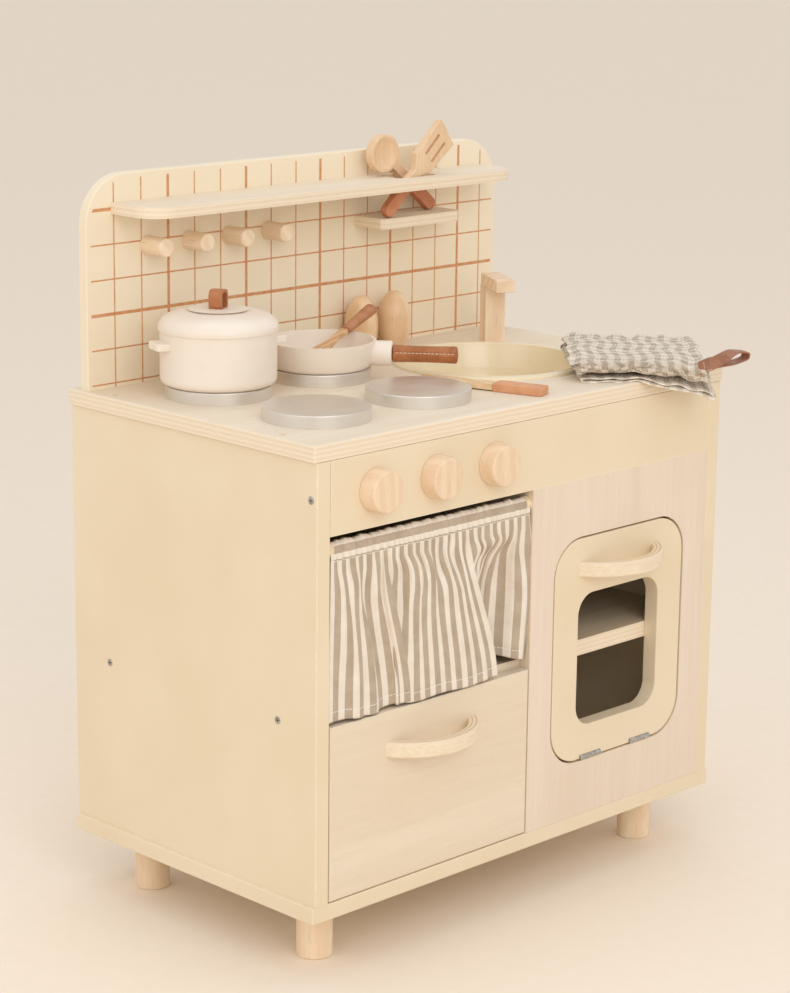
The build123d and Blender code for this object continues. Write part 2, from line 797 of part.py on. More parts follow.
with BuildPart() as pan_body:
    with BuildSketch(at(pan_x, pan_y, cook_z)):
        with BuildLine():
            Polyline((0, 0), (pan_base_r - 4, 0))
            Spline(
                (pan_base_r - 4, 0),
                (pan_base_r, 3.0),
                (pan_r, pan_h),
                tangents=((1, 0), (0.15, 1)),
            )
            Polyline((pan_r, pan_h), (0, pan_h), (0, 0))
        make_face()
    revolve(axis=spin(pan_x, pan_y))
    with BuildSketch(along_pan(pan_base_r - 2)):
        Circle(socket_r)
    extrude(amount=socket_end - pan_base_r + 2)
    fillet(pan_body.faces().sort_by(Axis((pan_x, pan_y, grip_z), pan_out))[-1].edges(), 1.5)
    with BuildSketch(at(pan_x, pan_y, cook_z)):
        with BuildLine():
            Line((0, wall), (pan_base_r - 7, wall))
            Spline(
                (pan_base_r - 7, wall),
                (pan_base_r - 2.6, 5.0),
                (pan_r - wall, pan_h),
                tangents=((1, 0), (0.15, 1)),
            )
            Polyline((pan_r - wall, pan_h), (pan_r - wall, pan_h + 3), (0, pan_h + 3), (0, wall))
        make_face()
    revolve(axis=spin(pan_x, pan_y), mode=Mode.SUBTRACT)
pan_body.part.label = "pan_body"

with BuildPart() as pan_grip:
    with BuildSketch(along_pan(socket_end)):
        Circle(grip_r)
    extrude(amount=grip_len)
    fillet(pan_grip.faces().sort_by(Axis((pan_x, pan_y, grip_z), pan_out))[-1].edges(), 1.5)
pan_grip.part.label = "pan_grip"

# ============================================================= pan spatula
tilt = radians(18.3)
sweep_turn = radians(12)
flat = (cos(sweep_turn), sin(sweep_turn), 0)
rise = (cos(tilt) * flat[0], cos(tilt) * flat[1], sin(tilt))
normal = (-sin(tilt) * flat[0], -sin(tilt) * flat[1], cos(tilt))
tip = (pan_x - 27.0, pan_y - 6.4, cook_z + 5.0)
spatula_l = 117.0
spatula_grip_l = 46.0
spatula_t = 4.0
spatula_plane = Plane(tip, x_dir=(-flat[1], flat[0], 0), z_dir=(-normal[0], -normal[1], -normal[2]))

with BuildPart() as pan_spatula:
    with BuildSketch(spatula_plane.offset(-spatula_t / 2)):
        with BuildLine():
            Polyline(
                (-7.5, 2),
                (-5, 0),
                (5, 0),
                (7.5, 2),
                (8.5, 30),
                (4.0, 44),
                (3.2, spatula_l - spatula_grip_l),
                (-3.2, spatula_l - spatula_grip_l),
                (-4.0, 44),
                (-8.5, 30),
                (-7.5, 2),
            )
        make_face()
    extrude(amount=spatula_t)
pan_spatula.part.label = "pan_spatula"

grip_start = spatula_l - spatula_grip_l
grip_from = tuple(tip[i] + grip_start * rise[i] for i in range(3))
with BuildPart() as spatula_grip:
    with BuildSketch(Plane(grip_from, x_dir=(-flat[1], flat[0], 0), z_dir=rise)):
        Ellipse(5.0, 4.0)
    with BuildSketch(Plane(grip_from, x_dir=(-flat[1], flat[0], 0), z_dir=rise).offset(spatula_grip_l)):
        Ellipse(6.6, 5.4)
    loft()
    fillet(spatula_grip.faces().sort_by(Axis(grip_from, rise))[-1].edges(), 2.5)
spatula_grip.part.label = "spatula_grip"


# ==================================================================== shakers
def shaker(x, y):
    """A solid turned shaker, rounded like an egg on a small foot."""
    with BuildPart() as egg:
        with BuildSketch(at(x, y, z_top)):
            with BuildLine():
                Polyline((0, 0), (11, 0), (11.6, 0.6))
                Spline(
                    (11.6, 0.6),
                    (15.0, 12),
                    (16.0, 24),
                    (14.6, 38),
                    (9.0, 49.5),
                    (0, 54),
                    tangents=((0.3, 1), (-1, 0)),
                )
                Line((0, 54), (0, 0))
            make_face()
        revolve(axis=spin(x, y))
    return egg


shaker_left = shaker(x_left + 316.0, wall_y - 20.0)
shaker_left.part.label = "shaker_left"
shaker_right = shaker(x_left + 360.0, wall_y - 20.0)
shaker_right.part.label = "shaker_right"


# ============================================================== hanging tools
def tool_frame(x, z, y, lean):
    """A frontal plane through the slot, its Y running up along a leaning tool."""
    t = radians(lean)
    return Plane((x, y, z), x_dir=(cos(t), 0, -sin(t)), z_dir=(0, -1, 0))


bar_w = 12.5                     # width of a tool's handle
bar_t = 8.0                      # thickness of a tool
neck_w = 9.0


def tool_bar(low, neck, high):
    """The outline of a flat handle with a round end, narrowing to its neck."""
    half = bar_w / 2
    with Locations((0, low + half)):
        Circle(half)
    with BuildLine() as outline:
        Polyline(
            (-half, low + half),
            (half, low + half),
            (half, neck - 6),
            (neck_w / 2, neck + 6),
            (neck_w / 2, high),
            (-neck_w / 2, high),
            (-neck_w / 2, neck + 6),
            (-half, neck - 6),
            (-half, low + half),
        )
    make_face(outline.edges())


turner_x = x_left + 364.0
turner_y = wall_y - 33.0
turner_lean = 47.0
slot_mid_z = rack_z - rack_t / 2
with BuildPart() as slotted_turner:
    with BuildSketch(tool_frame(turner_x, slot_mid_z, turner_y, turner_lean).offset(-bar_t / 2)):
        tool_bar(-43.0, 2.0, 14.0)
        with BuildLine():
            Polyline(
                (-neck_w / 2, 12),
                (neck_w / 2, 12),
                (12.5, 24),
                (16.5, 64),
                (-13.0, 69),
                (-15.0, 66),
                (-14.0, 24),
                (-neck_w / 2, 12),
            )
        make_face()
    extrude(amount=bar_t)
    fillet(slotted_turner.faces().filter_by(Axis.Y).edges(), 1.0)
    with BuildSketch(tool_frame(turner_x, slot_mid_z, turner_y, turner_lean).offset(bar_t / 2)):
        with Locations((-5.6, 44), (5.6, 44)):
            SlotOverall(25.0, 3.2, rotation=90)
    extrude(amount=-3.0, mode=Mode.SUBTRACT)
slotted_turner.part.label = "slotted_turner"

spoon_x = x_left + 378.0
spoon_y = wall_y - 16.0
spoon_lean = -50.0
bowl_at = 42.0
bowl_r = 18.3
bowl_t = 9.0
scoop_r = 26.5
spoon_up = (sin(radians(spoon_lean)), cos(radians(spoon_lean)))
with BuildPart() as round_spoon:
    with BuildSketch(tool_frame(spoon_x, slot_mid_z, spoon_y, spoon_lean).offset(-bowl_t / 2)):
        with Locations((0, bowl_at)):
            Circle(bowl_r)
        tool_bar(-45.4, 2.0, bowl_at - 10.0)
    extrude(amount=bowl_t)
    fillet(round_spoon.faces().filter_by(Axis.Y).edges(), 1.0)
    with Locations((spoon_x + bowl_at * spoon_up[0], spoon_y - 26.0, slot_mid_z + bowl_at * spoon_up[1])):
        Sphere(scoop_r, mode=Mode.SUBTRACT)
round_spoon.part.label = "round_spoon"

# ======================================================================= knife
knife_turn = radians(-72.5)
knife_dir = (cos(knife_turn), sin(knife_turn), 0)
knife_plane = Plane((x_left + 252.0, y_front + 134.0, z_top), x_dir=knife_dir, z_dir=(0, 0, 1))
blade_l = 77.0
blade_w = 16.0
haft_l = 48.0
haft_w = 17.0
haft_t = 8.0
with BuildPart() as knife_blade:
    with BuildSketch(knife_plane.offset(1.2)):
        with BuildLine():
            Polyline((blade_l, blade_w / 2), (blade_l, -blade_w / 2), (22, -blade_w / 2))
            Spline((22, -blade_w / 2), (8, -blade_w / 2 + 2.5), (0, 3.5), tangents=((-1, 0), (-0.5, 1)))
            Polyline((0, 3.5), (4, blade_w / 2 - 1), (12, blade_w / 2), (blade_l, blade_w / 2))
        make_face()
    extrude(amount=4.8)
knife_blade.part.label = "knife_blade"

with BuildPart() as knife_haft:
    with BuildSketch(knife_plane):
        with Locations((blade_l + haft_l / 2, 0)):
            Rectangle(haft_l, haft_w)
    extrude(amount=haft_t)
    fillet(knife_haft.edges(), 1.2)
knife_haft.part.label = "knife_haft"

# ======================================================================= cloth
cloth_x = x_left + cloth_in_x
cloth_y = y_front + cloth_in_y
cloth_t = 15.0
cloth_sag = 13.0
cloth_rest = 0.3
cloth_plane = Plane(
    (cloth_x, cloth_y, z_top - cloth_sag),
    x_dir=(cos(cloth_turn), sin(cloth_turn), 0),
    z_dir=(0, 0, 1),
)
tab_from = (x_left + 438.0, y_front - 40.0)
tab_to = (x_left + 517.0, y_front - 31.0)
tab_len = sqrt((tab_to[0] - tab_from[0]) ** 2 + (tab_to[1] - tab_from[1]) ** 2)
tab_dir = ((tab_to[0] - tab_from[0]) / tab_len, (tab_to[1] - tab_from[1]) / tab_len, 0)
tab_h = 11.0
tab_w = 10.0
tab_t = 2.2
tab_side = (-tab_dir[1], tab_dir[0], 0)
tab_plane = Plane(
    (
        tab_from[0] + tab_dir[0] * tab_len / 2 + tab_side[0] * tab_w / 2,
        tab_from[1] + tab_dir[1] * tab_len / 2 + tab_side[1] * tab_w / 2,
        z_top + 13.5,
    ),
    x_dir=tab_dir,
    z_dir=(-tab_side[0], -tab_side[1], 0),
)

with BuildPart() as cloth:
    with BuildSketch(cloth_plane):
        RectangleRounded(cloth_l, cloth_w, cloth_r)
    extrude(amount=cloth_sag + cloth_t)
    fillet(cloth.faces().sort_by(Axis.Z)[-1].edges(), 4.0)
    with BuildSketch(Plane.XY.offset(z_top - cloth_sag - 1)):
        with Locations((x_right + lip + 1 - cab_w / 2, y_front - 1 + cab_d / 2)):
            Rectangle(cab_w, cab_d)
    extrude(amount=cloth_sag + 1 + cloth_rest, mode=Mode.SUBTRACT)
    with BuildSketch(Plane.XY.offset(z_top)):
        with Locations((sink_x, sink_y)):
            Circle(sink_r + 1.0)
    extrude(amount=3.3, mode=Mode.SUBTRACT)
    with BuildSketch(tab_plane.offset(-0.2)):
        RectangleRounded(tab_len + 0.4, tab_h + 0.4, 5.0)
    extrude(amount=tab_w + 0.4, mode=Mode.SUBTRACT)
cloth.part.label = "cloth"

with BuildPart() as cloth_tab:
    with BuildSketch(tab_plane):
        RectangleRounded(tab_len, tab_h, 4.8)
        RectangleRounded(tab_len - 2 * tab_t, tab_h - 2 * tab_t, 2.6, mode=Mode.SUBTRACT)
    extrude(amount=tab_w)
cloth_tab.part.label = "cloth_tab"

# ====================================================================== export
export_step(base_board.part, "parts/base_board.step")
export_step(leg_front_left.part, "parts/leg_front_left.step")
export_step(leg_front_right.part, "parts/leg_front_right.step")
export_step(leg_rear_left.part, "parts/leg_rear_left.step")
export_step(leg_rear_right.part, "parts/leg_rear_right.step")
export_step(left_side.part, "parts/left_side.step")
export_step(right_side.part, "parts/right_side.step")
export_step(divider.part, "parts/divider.step")
export_step(back_panel.part, "parts/back_panel.step")
export_step(apron.part, "parts/apron.step")
export_step(oven_surround.part, "parts/oven_surround.step")
export_step(bay_shelf.part, "parts/bay_shelf.step")
export_step(oven_shelf.part, "parts/oven_shelf.step")
export_step(side_screws.part, "parts/side_screws.step")
export_step(worktop.part, "parts/worktop.step")
export_step(worktop_plugs.part, "parts/worktop_plugs.step")
export_step(hob_discs.part, "parts/hob_discs.step")
export_step(sink_basin.part, "parts/sink_basin.step")
export_step(tap_post.part, "parts/tap_post.step")
export_step(tap_spout.part, "parts/tap_spout.step")
export_step(splashback.part, "parts/splashback.step")
export_step(rack_shelf.part, "parts/rack_shelf.step")
export_step(tool_perch.part, "parts/tool_perch.step")
export_step(wall_pegs.part, "parts/wall_pegs.step")
export_step(oven_door.part, "parts/oven_door.step")
export_step(door_handle.part, "parts/door_handle.step")
export_step(hinge_frame_leaves.part, "parts/hinge_frame_leaves.step")
export_step(hinge_door_leaves.part, "parts/hinge_door_leaves.step")
export_step(hinge_pins.part, "parts/hinge_pins.step")
export_step(drawer_front.part, "parts/drawer_front.step")
export_step(drawer_left.part, "parts/drawer_left.step")
export_step(drawer_right.part, "parts/drawer_right.step")
export_step(drawer_back.part, "parts/drawer_back.step")
export_step(drawer_floor.part, "parts/drawer_floor.step")
export_step(drawer_handle.part, "parts/drawer_handle.step")
export_step(knob_left.part, "parts/knob_left.step")
export_step(knob_middle.part, "parts/knob_middle.step")
export_step(knob_right.part, "parts/knob_right.step")
export_step(knob_screw_left.part, "parts/knob_screw_left.step")
export_step(knob_screw_middle.part, "parts/knob_screw_middle.step")
export_step(knob_screw_right.part, "parts/knob_screw_right.step")
export_step(curtain_rod.part, "parts/curtain_rod.step")
export_step(rod_cups.part, "parts/rod_cups.step")
export_step(curtain.part, "parts/curtain.step")
export_step(pot_body.part, "parts/pot_body.step")
export_step(pot_lugs.part, "parts/pot_lugs.step")
export_step(pot_lid.part, "parts/pot_lid.step")
export_step(lid_loop.part, "parts/lid_loop.step")
export_step(pan_body.part, "parts/pan_body.step")
export_step(pan_grip.part, "parts/pan_grip.step")
export_step(pan_spatula.part, "parts/pan_spatula.step")
export_step(spatula_grip.part, "parts/spatula_grip.step")
export_step(shaker_left.part, "parts/shaker_left.step")
export_step(shaker_right.part, "parts/shaker_right.step")
export_step(slotted_turner.part, "parts/slotted_turner.step")
export_step(round_spoon.part, "parts/round_spoon.step")
export_step(knife_blade.part, "parts/knife_blade.step")
export_step(knife_haft.part, "parts/knife_haft.step")
export_step(cloth.part, "parts/cloth.step")
export_step(cloth_tab.part, "parts/cloth_tab.step")
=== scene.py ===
"""Looks for the toy kitchen: finishes for every wooden, metal and moulded part, and the cotton and
leather pieces made new.  Metres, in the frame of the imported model, the front faces -Y."""

from math import cos, pi, radians, sin

import bpy
import numpy as np
from mathutils import Matrix, Vector


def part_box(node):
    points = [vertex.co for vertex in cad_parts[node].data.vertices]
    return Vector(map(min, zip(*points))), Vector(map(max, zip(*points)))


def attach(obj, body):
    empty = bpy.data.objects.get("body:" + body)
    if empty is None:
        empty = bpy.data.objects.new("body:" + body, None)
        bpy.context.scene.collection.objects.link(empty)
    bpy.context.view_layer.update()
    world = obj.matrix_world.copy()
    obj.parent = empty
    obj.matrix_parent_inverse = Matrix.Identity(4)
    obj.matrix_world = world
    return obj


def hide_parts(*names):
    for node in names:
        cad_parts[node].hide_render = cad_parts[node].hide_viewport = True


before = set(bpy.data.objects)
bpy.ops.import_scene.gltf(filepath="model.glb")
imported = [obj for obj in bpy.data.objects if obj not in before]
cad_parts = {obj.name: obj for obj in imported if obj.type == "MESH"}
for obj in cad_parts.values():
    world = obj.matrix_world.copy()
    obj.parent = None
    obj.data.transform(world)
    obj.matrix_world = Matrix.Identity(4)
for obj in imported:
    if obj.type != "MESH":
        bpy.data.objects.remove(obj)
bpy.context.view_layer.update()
mm = 0.001


# ------------------------------------------------------------------ node building
def tone(red, green, blue):
    """A screen colour, 0 to 255, as the linear colour that a shader takes."""
    share = np.array([red, green, blue]) / 255.0
    linear = np.where(share <= 0.04045, share / 12.92, ((share + 0.055) / 1.055) ** 2.4)
    return (*(float(c) for c in linear), 1.0)


class Finish:
    """One material and the few kinds of node that the finishes are built from."""

    def __init__(self, name, roughness=0.5, metallic=0.0, specular=0.5, coat=0.0, sheen=0.0):
        self.material = bpy.data.materials.new(name)
        self.material.use_nodes = True
        self.tree = self.material.node_tree
        self.surface = self.tree.nodes["Principled BSDF"]
        self.surface.inputs["Roughness"].default_value = roughness
        self.surface.inputs["Metallic"].default_value = metallic
        self.surface.inputs["Specular IOR Level"].default_value = specular
        self.surface.inputs["Coat Weight"].default_value = coat
        self.surface.inputs["Coat Roughness"].default_value = 0.25
        self.surface.inputs["Sheen Weight"].default_value = sheen
        self.surface.inputs["Sheen Roughness"].default_value = 0.5
        self.coords = self.add("ShaderNodeTexCoord")
        self.place = self.coords.outputs["Object"]

    def add(self, kind, **settings):
        node = self.tree.nodes.new(kind)
        for key, value in settings.items():
            setattr(node, key, value)
        return node

    def feed(self, socket, value):
        """Links a socket's value, or sets it if it is a plain number or colour."""
        if isinstance(value, bpy.types.NodeSocket):
            self.tree.links.new(value, socket)
        else:
            socket.default_value = value

    def math(self, operation, a, b=0.0, c=0.0):
        node = self.add("ShaderNodeMath", operation=operation)
        for socket, value in zip(node.inputs, (a, b, c)):
            self.feed(socket, value)
        return node.outputs[0]

    def vector(self, operation, a, b=(0, 0, 0), out=0):
        node = self.add("ShaderNodeVectorMath", operation=operation)
        self.feed(node.inputs[0], a)
        self.feed(node.inputs[1], b)
        return node.outputs[out]

    def split(self, vector):
        node = self.add("ShaderNodeSeparateXYZ")
        self.feed(node.inputs[0], vector)
        return node.outputs

    def join(self, x, y, z):
        node = self.add("ShaderNodeCombineXYZ")
        for socket, value in zip(node.inputs, (x, y, z)):
            self.feed(socket, value)
        return node.outputs[0]

    def noise(self, vector, scale, detail=3.0, rough=0.5, twist=0.0):
        node = self.add("ShaderNodeTexNoise")
        self.feed(node.inputs["Vector"], vector)
        node.inputs["Scale"].default_value = scale
        node.inputs["Detail"].default_value = detail
        node.inputs["Roughness"].default_value = rough
        node.inputs["Distortion"].default_value = twist
        return node.outputs["Fac"]

    def span(self, value, low, high, to_low=0.0, to_high=1.0, smooth=True):
        """A value carried from one range to another, eased at both ends."""
        node = self.add("ShaderNodeMapRange", clamp=True)
        node.interpolation_type = "SMOOTHSTEP" if smooth else "LINEAR"
        for socket, given in zip(node.inputs, (value, low, high, to_low, to_high)):
            self.feed(socket, given)
        return node.outputs[0]

    def mix(self, share, first, second, blend="MIX"):
        node = self.add("ShaderNodeMix", data_type="RGBA", blend_type=blend)
        self.feed(node.inputs[0], share)
        self.feed(node.inputs[6], first)
        self.feed(node.inputs[7], second)
        return node.outputs[2]

    def finish(self, colour, height=None, depth=0.0002, strength=0.6, roughness=None):
        """Links colour, roughness and the bump that the height gives."""
        self.feed(self.surface.inputs["Base Color"], colour)
        if roughness is not None:
            self.feed(self.surface.inputs["Roughness"], roughness)
        if height is not None:
            bump = self.add("ShaderNodeBump")
            bump.inputs["Strength"].default_value = strength
            bump.inputs["Distance"].default_value = depth
            self.feed(bump.inputs["Height"], height)
            self.feed(self.surface.inputs["Normal"], bump.outputs[0])
        return self.material

    def stretched(self, axis, along, across=1.0):
        """Object coordinates squeezed along the grain, so that noise runs in fibres."""
        scale = [across, across, across]
        scale["xyz".index(axis)] = along
        return self.vector("MULTIPLY", self.place, tuple(scale))

    def edge_distance(self, low, high):
        """How far a point on a box's skin is from the nearest edge: of its three depths under the
        box's faces the least is nought, and the middle one is the distance to the edge."""
        middle = tuple((low + high) / 2)
        half = tuple((high - low) / 2)
        from_middle = self.vector("SUBTRACT", self.place, middle)
        inward = self.vector("SUBTRACT", half, self.vector("ABSOLUTE", from_middle))
        x, y, z = self.split(inward)
        pairs = [self.math("MAXIMUM", *pair) for pair in ((x, y), (y, z), (x, z))]
        return self.math("MINIMUM", self.math("MINIMUM", pairs[0], pairs[1]), pairs[2])


# ------------------------------------------------------------------------- finishes
cream = tone(236, 219, 190)
cream_shade = tone(232, 214, 183)


def cream_paint(node, base=cream, shade=cream_shade, gloss=0.46):
    """Sprayed cream paint on board: a faint cloudiness, orange peel, and lighter edges: a painted highlight
    along the rounded edges, ragged with noise like worn paint.
    """
    f = Finish("paint_" + node, roughness=gloss, specular=0.4)
    clouds = f.noise(f.place, 9.0, 4.0)
    colour = f.mix(f.span(clouds, 0.3, 0.7), shade, base)
    peel = f.noise(f.place, 900.0, 2.0)
    fibre = f.noise(f.stretched("z", 0.08), 300.0, 3.0)
    low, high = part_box(node)
    edge = f.edge_distance(low, high)
    # The edges are lightened: a painted highlight along the rounded edges, broken up with noise like worn
    # paint.
    ragged_edge = f.math("ADD", edge, f.math("MULTIPLY", f.noise(f.place, 120.0, 4.0), 0.0022))
    edge_highlight_and_wear = f.span(ragged_edge, 0.0008, 0.0021, 0.55, 0.0)
    colour = f.mix(edge_highlight_and_wear, colour, tone(246, 236, 206))
    height = f.math("ADD", f.math("MULTIPLY", peel, 0.5), f.math("MULTIPLY", fibre, 0.5))
    rough = f.span(clouds, 0.2, 0.8, gloss - 0.05, gloss + 0.08)
    return f.finish(colour, height, 0.00008, 0.35, rough)


def washed_ply(node, grain="x", thick="z", base=(238, 225, 205), dark=(230, 214, 191), ply=0.0021):
    """Whitewashed plywood: long soft grain on the faces, and the plies in bands on the edges."""
    f = Finish("ply_" + node, roughness=0.55, specular=0.35)
    broad = f.noise(f.stretched(grain, 0.12), 14.0, 4.0, 0.55, 0.6)
    fine = f.noise(f.stretched(grain, 0.03), 260.0, 4.0, 0.6)
    streak = f.math("ADD", f.math("MULTIPLY", broad, 0.62), f.math("MULTIPLY", fine, 0.38))
    colour = f.mix(f.span(streak, 0.36, 0.66), tone(*dark), tone(*base))
    pores = f.span(f.noise(f.stretched(grain, 0.05), 700.0, 2.0), 0.60, 0.72)
    colour = f.mix(f.math("MULTIPLY", pores, 0.14), colour, tone(206, 184, 156))
    axis = "xyz".index(thick)
    facing = f.math("ABSOLUTE", f.split(f.coords.outputs["Normal"])[axis])
    on_edge = f.span(facing, 0.35, 0.7, 1.0, 0.0)
    wobble = f.math("MULTIPLY", f.noise(f.place, 40.0, 2.0), 0.0007)
    layer = f.math("ADD", f.split(f.place)[axis], wobble)
    band = f.math("PINGPONG", layer, ply)
    layered = f.mix(f.span(band, ply * 0.38, ply * 0.62), tone(236, 218, 191), tone(243, 228, 205))
    flecks = f.span(f.noise(f.place, 900.0, 2.0), 0.35, 0.7)
    layered = f.mix(f.math("MULTIPLY", flecks, 0.22), layered, tone(214, 188, 154))
    colour = f.mix(on_edge, colour, layered)
    height = f.math("ADD", f.math("MULTIPLY", fine, 0.6), f.math("MULTIPLY", pores, -0.5))
    height = f.math("ADD", height, f.math("MULTIPLY", f.math("MULTIPLY", on_edge, band), 130.0))
    return f.finish(colour, height, 0.00012, 0.5, f.span(streak, 0.3, 0.7, 0.62, 0.5))


def solid_wood(name, grain, light, dark, rings=30.0, gloss=0.5, contrast=1.0, coat=0.0):
    """Clear-finished solid wood: growth rings drawn out along the grain, with fine pores."""
    f = Finish(name, roughness=gloss, specular=0.4, coat=coat)
    bent = f.noise(f.stretched(grain, 0.25), 12.0, 2.0)
    spots = [0, 1, 2]
    spots.remove("xyz".index(grain))
    axes = f.split(f.place)
    across = f.math("ADD", axes[spots[0]], f.math("MULTIPLY", axes[spots[1]], 0.6))
    wavering = f.math("ADD", across, f.math("MULTIPLY", bent, 0.05))
    ring = f.math("SINE", f.math("MULTIPLY", wavering, rings * 20.0))
    fibre = f.noise(f.stretched(grain, 0.035), 420.0, 4.0, 0.6)
    ring_share = f.math("MULTIPLY", f.span(ring, -1, 1), 0.42 * contrast)
    share = f.math("ADD", ring_share, f.math("MULTIPLY", fibre, 0.6))
    colour = f.mix(f.span(share, 0.2, 0.85), tone(*dark), tone(*light))
    pores = f.span(f.noise(f.stretched(grain, 0.06), 1100.0, 2.0), 0.60, 0.70)
    colour = f.mix(f.math("MULTIPLY", pores, 0.35), colour, tone(*(int(c * 0.8) for c in dark)))
    height = f.math("SUBTRACT", fibre, f.math("MULTIPLY", pores, 0.7))
    return f.finish(colour, height, 0.00012, 0.5, f.span(fibre, 0.3, 0.7, gloss + 0.08, gloss - 0.04))


def bent_ply(node, centre, outer):
    """A bow bent from thin veneers: the glue lines are arcs about the bow's own centre."""
    f = Finish("bow_" + node, roughness=0.5, specular=0.4)
    flat = f.vector("MULTIPLY", f.vector("SUBTRACT", f.place, centre), (1, 1, 0))
    radius = f.vector("LENGTH", flat, out=1)
    depth = f.math("SUBTRACT", outer, radius)
    depth = f.math("ADD", depth, f.math("MULTIPLY", f.noise(f.place, 30.0), 0.0004))
    band = f.math("PINGPONG", depth, 0.0018)
    top = f.math("ABSOLUTE", f.split(f.coords.outputs["Normal"])[2])
    grain = f.noise(f.stretched("x", 0.05), 380.0, 4.0)
    face = f.mix(f.span(grain, 0.3, 0.7), tone(233, 214, 184), tone(241, 225, 199))
    glue = f.span(band, 0.0001, 0.0006, 1.0, 0.0)
    edges = f.mix(f.span(band, 0.0004, 0.0012), tone(228, 206, 172), tone(240, 224, 198))
    edges = f.mix(f.math("MULTIPLY", glue, 0.5), edges, tone(190, 158, 120))
    colour = f.mix(f.span(top, 0.3, 0.7), face, edges)
    height = f.math("SUBTRACT", grain, f.math("MULTIPLY", glue, f.span(top, 0.3, 0.7)))
    return f.finish(colour, height, 0.00015, 0.5, f.span(grain, 0.2, 0.8, 0.55, 0.45))


def tiled_print(node):
    """Cream paint with a printed grid of lines: every third line is broad, and all of them stop
    short of the board's rounded outline."""
    low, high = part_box(node)
    pitch = 31.1 * mm
    corner = 45 * mm
    f = Finish("print_" + node, roughness=0.5, specular=0.35)
    clouds = f.noise(f.place, 10.0, 4.0)
    base = f.mix(f.span(clouds, 0.3, 0.7), tone(240, 225, 198), tone(244, 230, 205))
    x, _, z = f.split(f.place)
    first_broad = low.z + 66 * mm
    from_left = f.math("DIVIDE", f.math("SUBTRACT", x, low.x), pitch)
    from_base = f.math("DIVIDE", f.math("SUBTRACT", z, first_broad - 3 * pitch), pitch)

    def lines(measure):
        nearest = f.math("ROUND", measure)
        off = f.math("MULTIPLY", f.math("ABSOLUTE", f.math("SUBTRACT", measure, nearest)), pitch)
        third = f.math("MODULO", f.math("ADD", nearest, 30.0), 3.0)
        thin = f.span(third, 0.2, 0.8)
        half = f.math("MULTIPLY_ADD", thin, -0.8 * mm, 1.55 * mm)
        ragged = f.math("MULTIPLY", f.noise(f.place, 700.0, 2.0), 0.25 * mm)
        gap = f.math("SUBTRACT", f.math("ADD", off, ragged), half)
        return f.span(gap, -0.1 * mm, 0.25 * mm, 1.0, 0.0)

    from_middle = f.math("ABSOLUTE", f.math("SUBTRACT", x, (low.x + high.x) / 2))
    past_x = f.math("SUBTRACT", from_middle, (high.x - low.x) / 2 - corner)
    past_z = f.math("SUBTRACT", z, high.z - corner)
    beyond = f.join(f.math("MAXIMUM", past_x, 0.0), f.math("MAXIMUM", past_z, 0.0), 0.0)
    outside = f.vector("LENGTH", beyond, out=1)
    within = f.math("ADD", outside, f.math("MINIMUM", f.math("MAXIMUM", past_x, past_z), 0.0))
    kept = f.span(f.math("SUBTRACT", corner, within), 4.5 * mm, 5.1 * mm)
    facing = f.span(f.split(f.coords.outputs["Normal"])[1], -0.9, -0.7, 1.0, 0.0)
    drawn = f.math("MAXIMUM", lines(from_left), lines(from_base))
    ink = f.math("MULTIPLY", drawn, f.math("MULTIPLY", kept, facing))
    faded = f.span(f.noise(f.place, 150.0, 4.0), 0.3, 0.7, 0.82, 1.0)
    colour = f.mix(f.math("MULTIPLY", ink, faded), base, tone(205, 139, 84))
    grain = f.noise(f.stretched("x", 0.06), 300.0, 3.0)
    height = f.math("ADD", f.math("MULTIPLY", grain, 0.5), f.math("MULTIPLY", ink, 0.6))
    return f.finish(colour, height, 0.00008, 0.4, f.span(ink, 0, 1, 0.52, 0.42))


def brushed_silver(name, centre, base=(234, 229, 222)):
    """Silver finish brushed in circles, on top and round the rim."""
    f = Finish(name, roughness=0.34, metallic=0.9)
    flat = f.vector("MULTIPLY", f.vector("SUBTRACT", f.place, centre), (1, 1, 0))
    radius = f.vector("LENGTH", flat, out=1)
    rings = f.noise(f.join(radius, 0.0, 0.0), 2600.0, 3.0, 0.7)
    hoops = f.noise(f.join(0.0, 0.0, f.split(f.place)[2]), 1900.0, 2.0)
    top = f.span(f.math("ABSOLUTE", f.split(f.coords.outputs["Normal"])[2]), 0.4, 0.8)
    streak = f.mix(top, hoops, rings)
    colour = f.mix(f.span(streak, 0.3, 0.7), tone(*(int(c * 0.95) for c in base)), tone(*base))
    smudge = f.noise(f.place, 30.0, 4.0)
    rough = f.span(smudge, 0.3, 0.7, 0.30, 0.42)
    rough = f.math("ADD", rough, f.math("MULTIPLY", f.span(streak, 0, 1), 0.08))
    return f.finish(colour, streak, 0.00004, 0.25, rough)


def plain_steel(name):
    """Zinc-plated steel: fine drawn lines, with a cloudy dullness."""
    f = Finish(name, roughness=0.35, metallic=1.0)
    clouds = f.noise(f.place, 260.0, 4.0)
    lines = f.noise(f.stretched("x", 0.05), 1500.0, 2.0)
    colour = f.mix(f.span(clouds, 0.3, 0.7), tone(168, 164, 158), tone(206, 203, 198))
    return f.finish(colour, lines, 0.00003, 0.3, f.span(clouds, 0.2, 0.8, 0.26, 0.46))


def satin_enamel(name, base=(240, 228, 214), shade=(236, 222, 206), gloss=0.38):
    """Warm white satin coating with a faint orange peel and a few dull rub marks."""
    f = Finish(name, roughness=gloss, specular=0.45)
    clouds = f.noise(f.place, 22.0, 4.0)
    peel = f.noise(f.place, 800.0, 2.0)
    rubs = f.span(f.noise(f.stretched("z", 0.4), 60.0, 5.0, 0.65), 0.5, 0.8)
    colour = f.mix(f.span(clouds, 0.3, 0.7), tone(*shade), tone(*base))
    return f.finish(colour, peel, 0.00006, 0.3, f.math("ADD", f.math("MULTIPLY", rubs, 0.1), gloss))


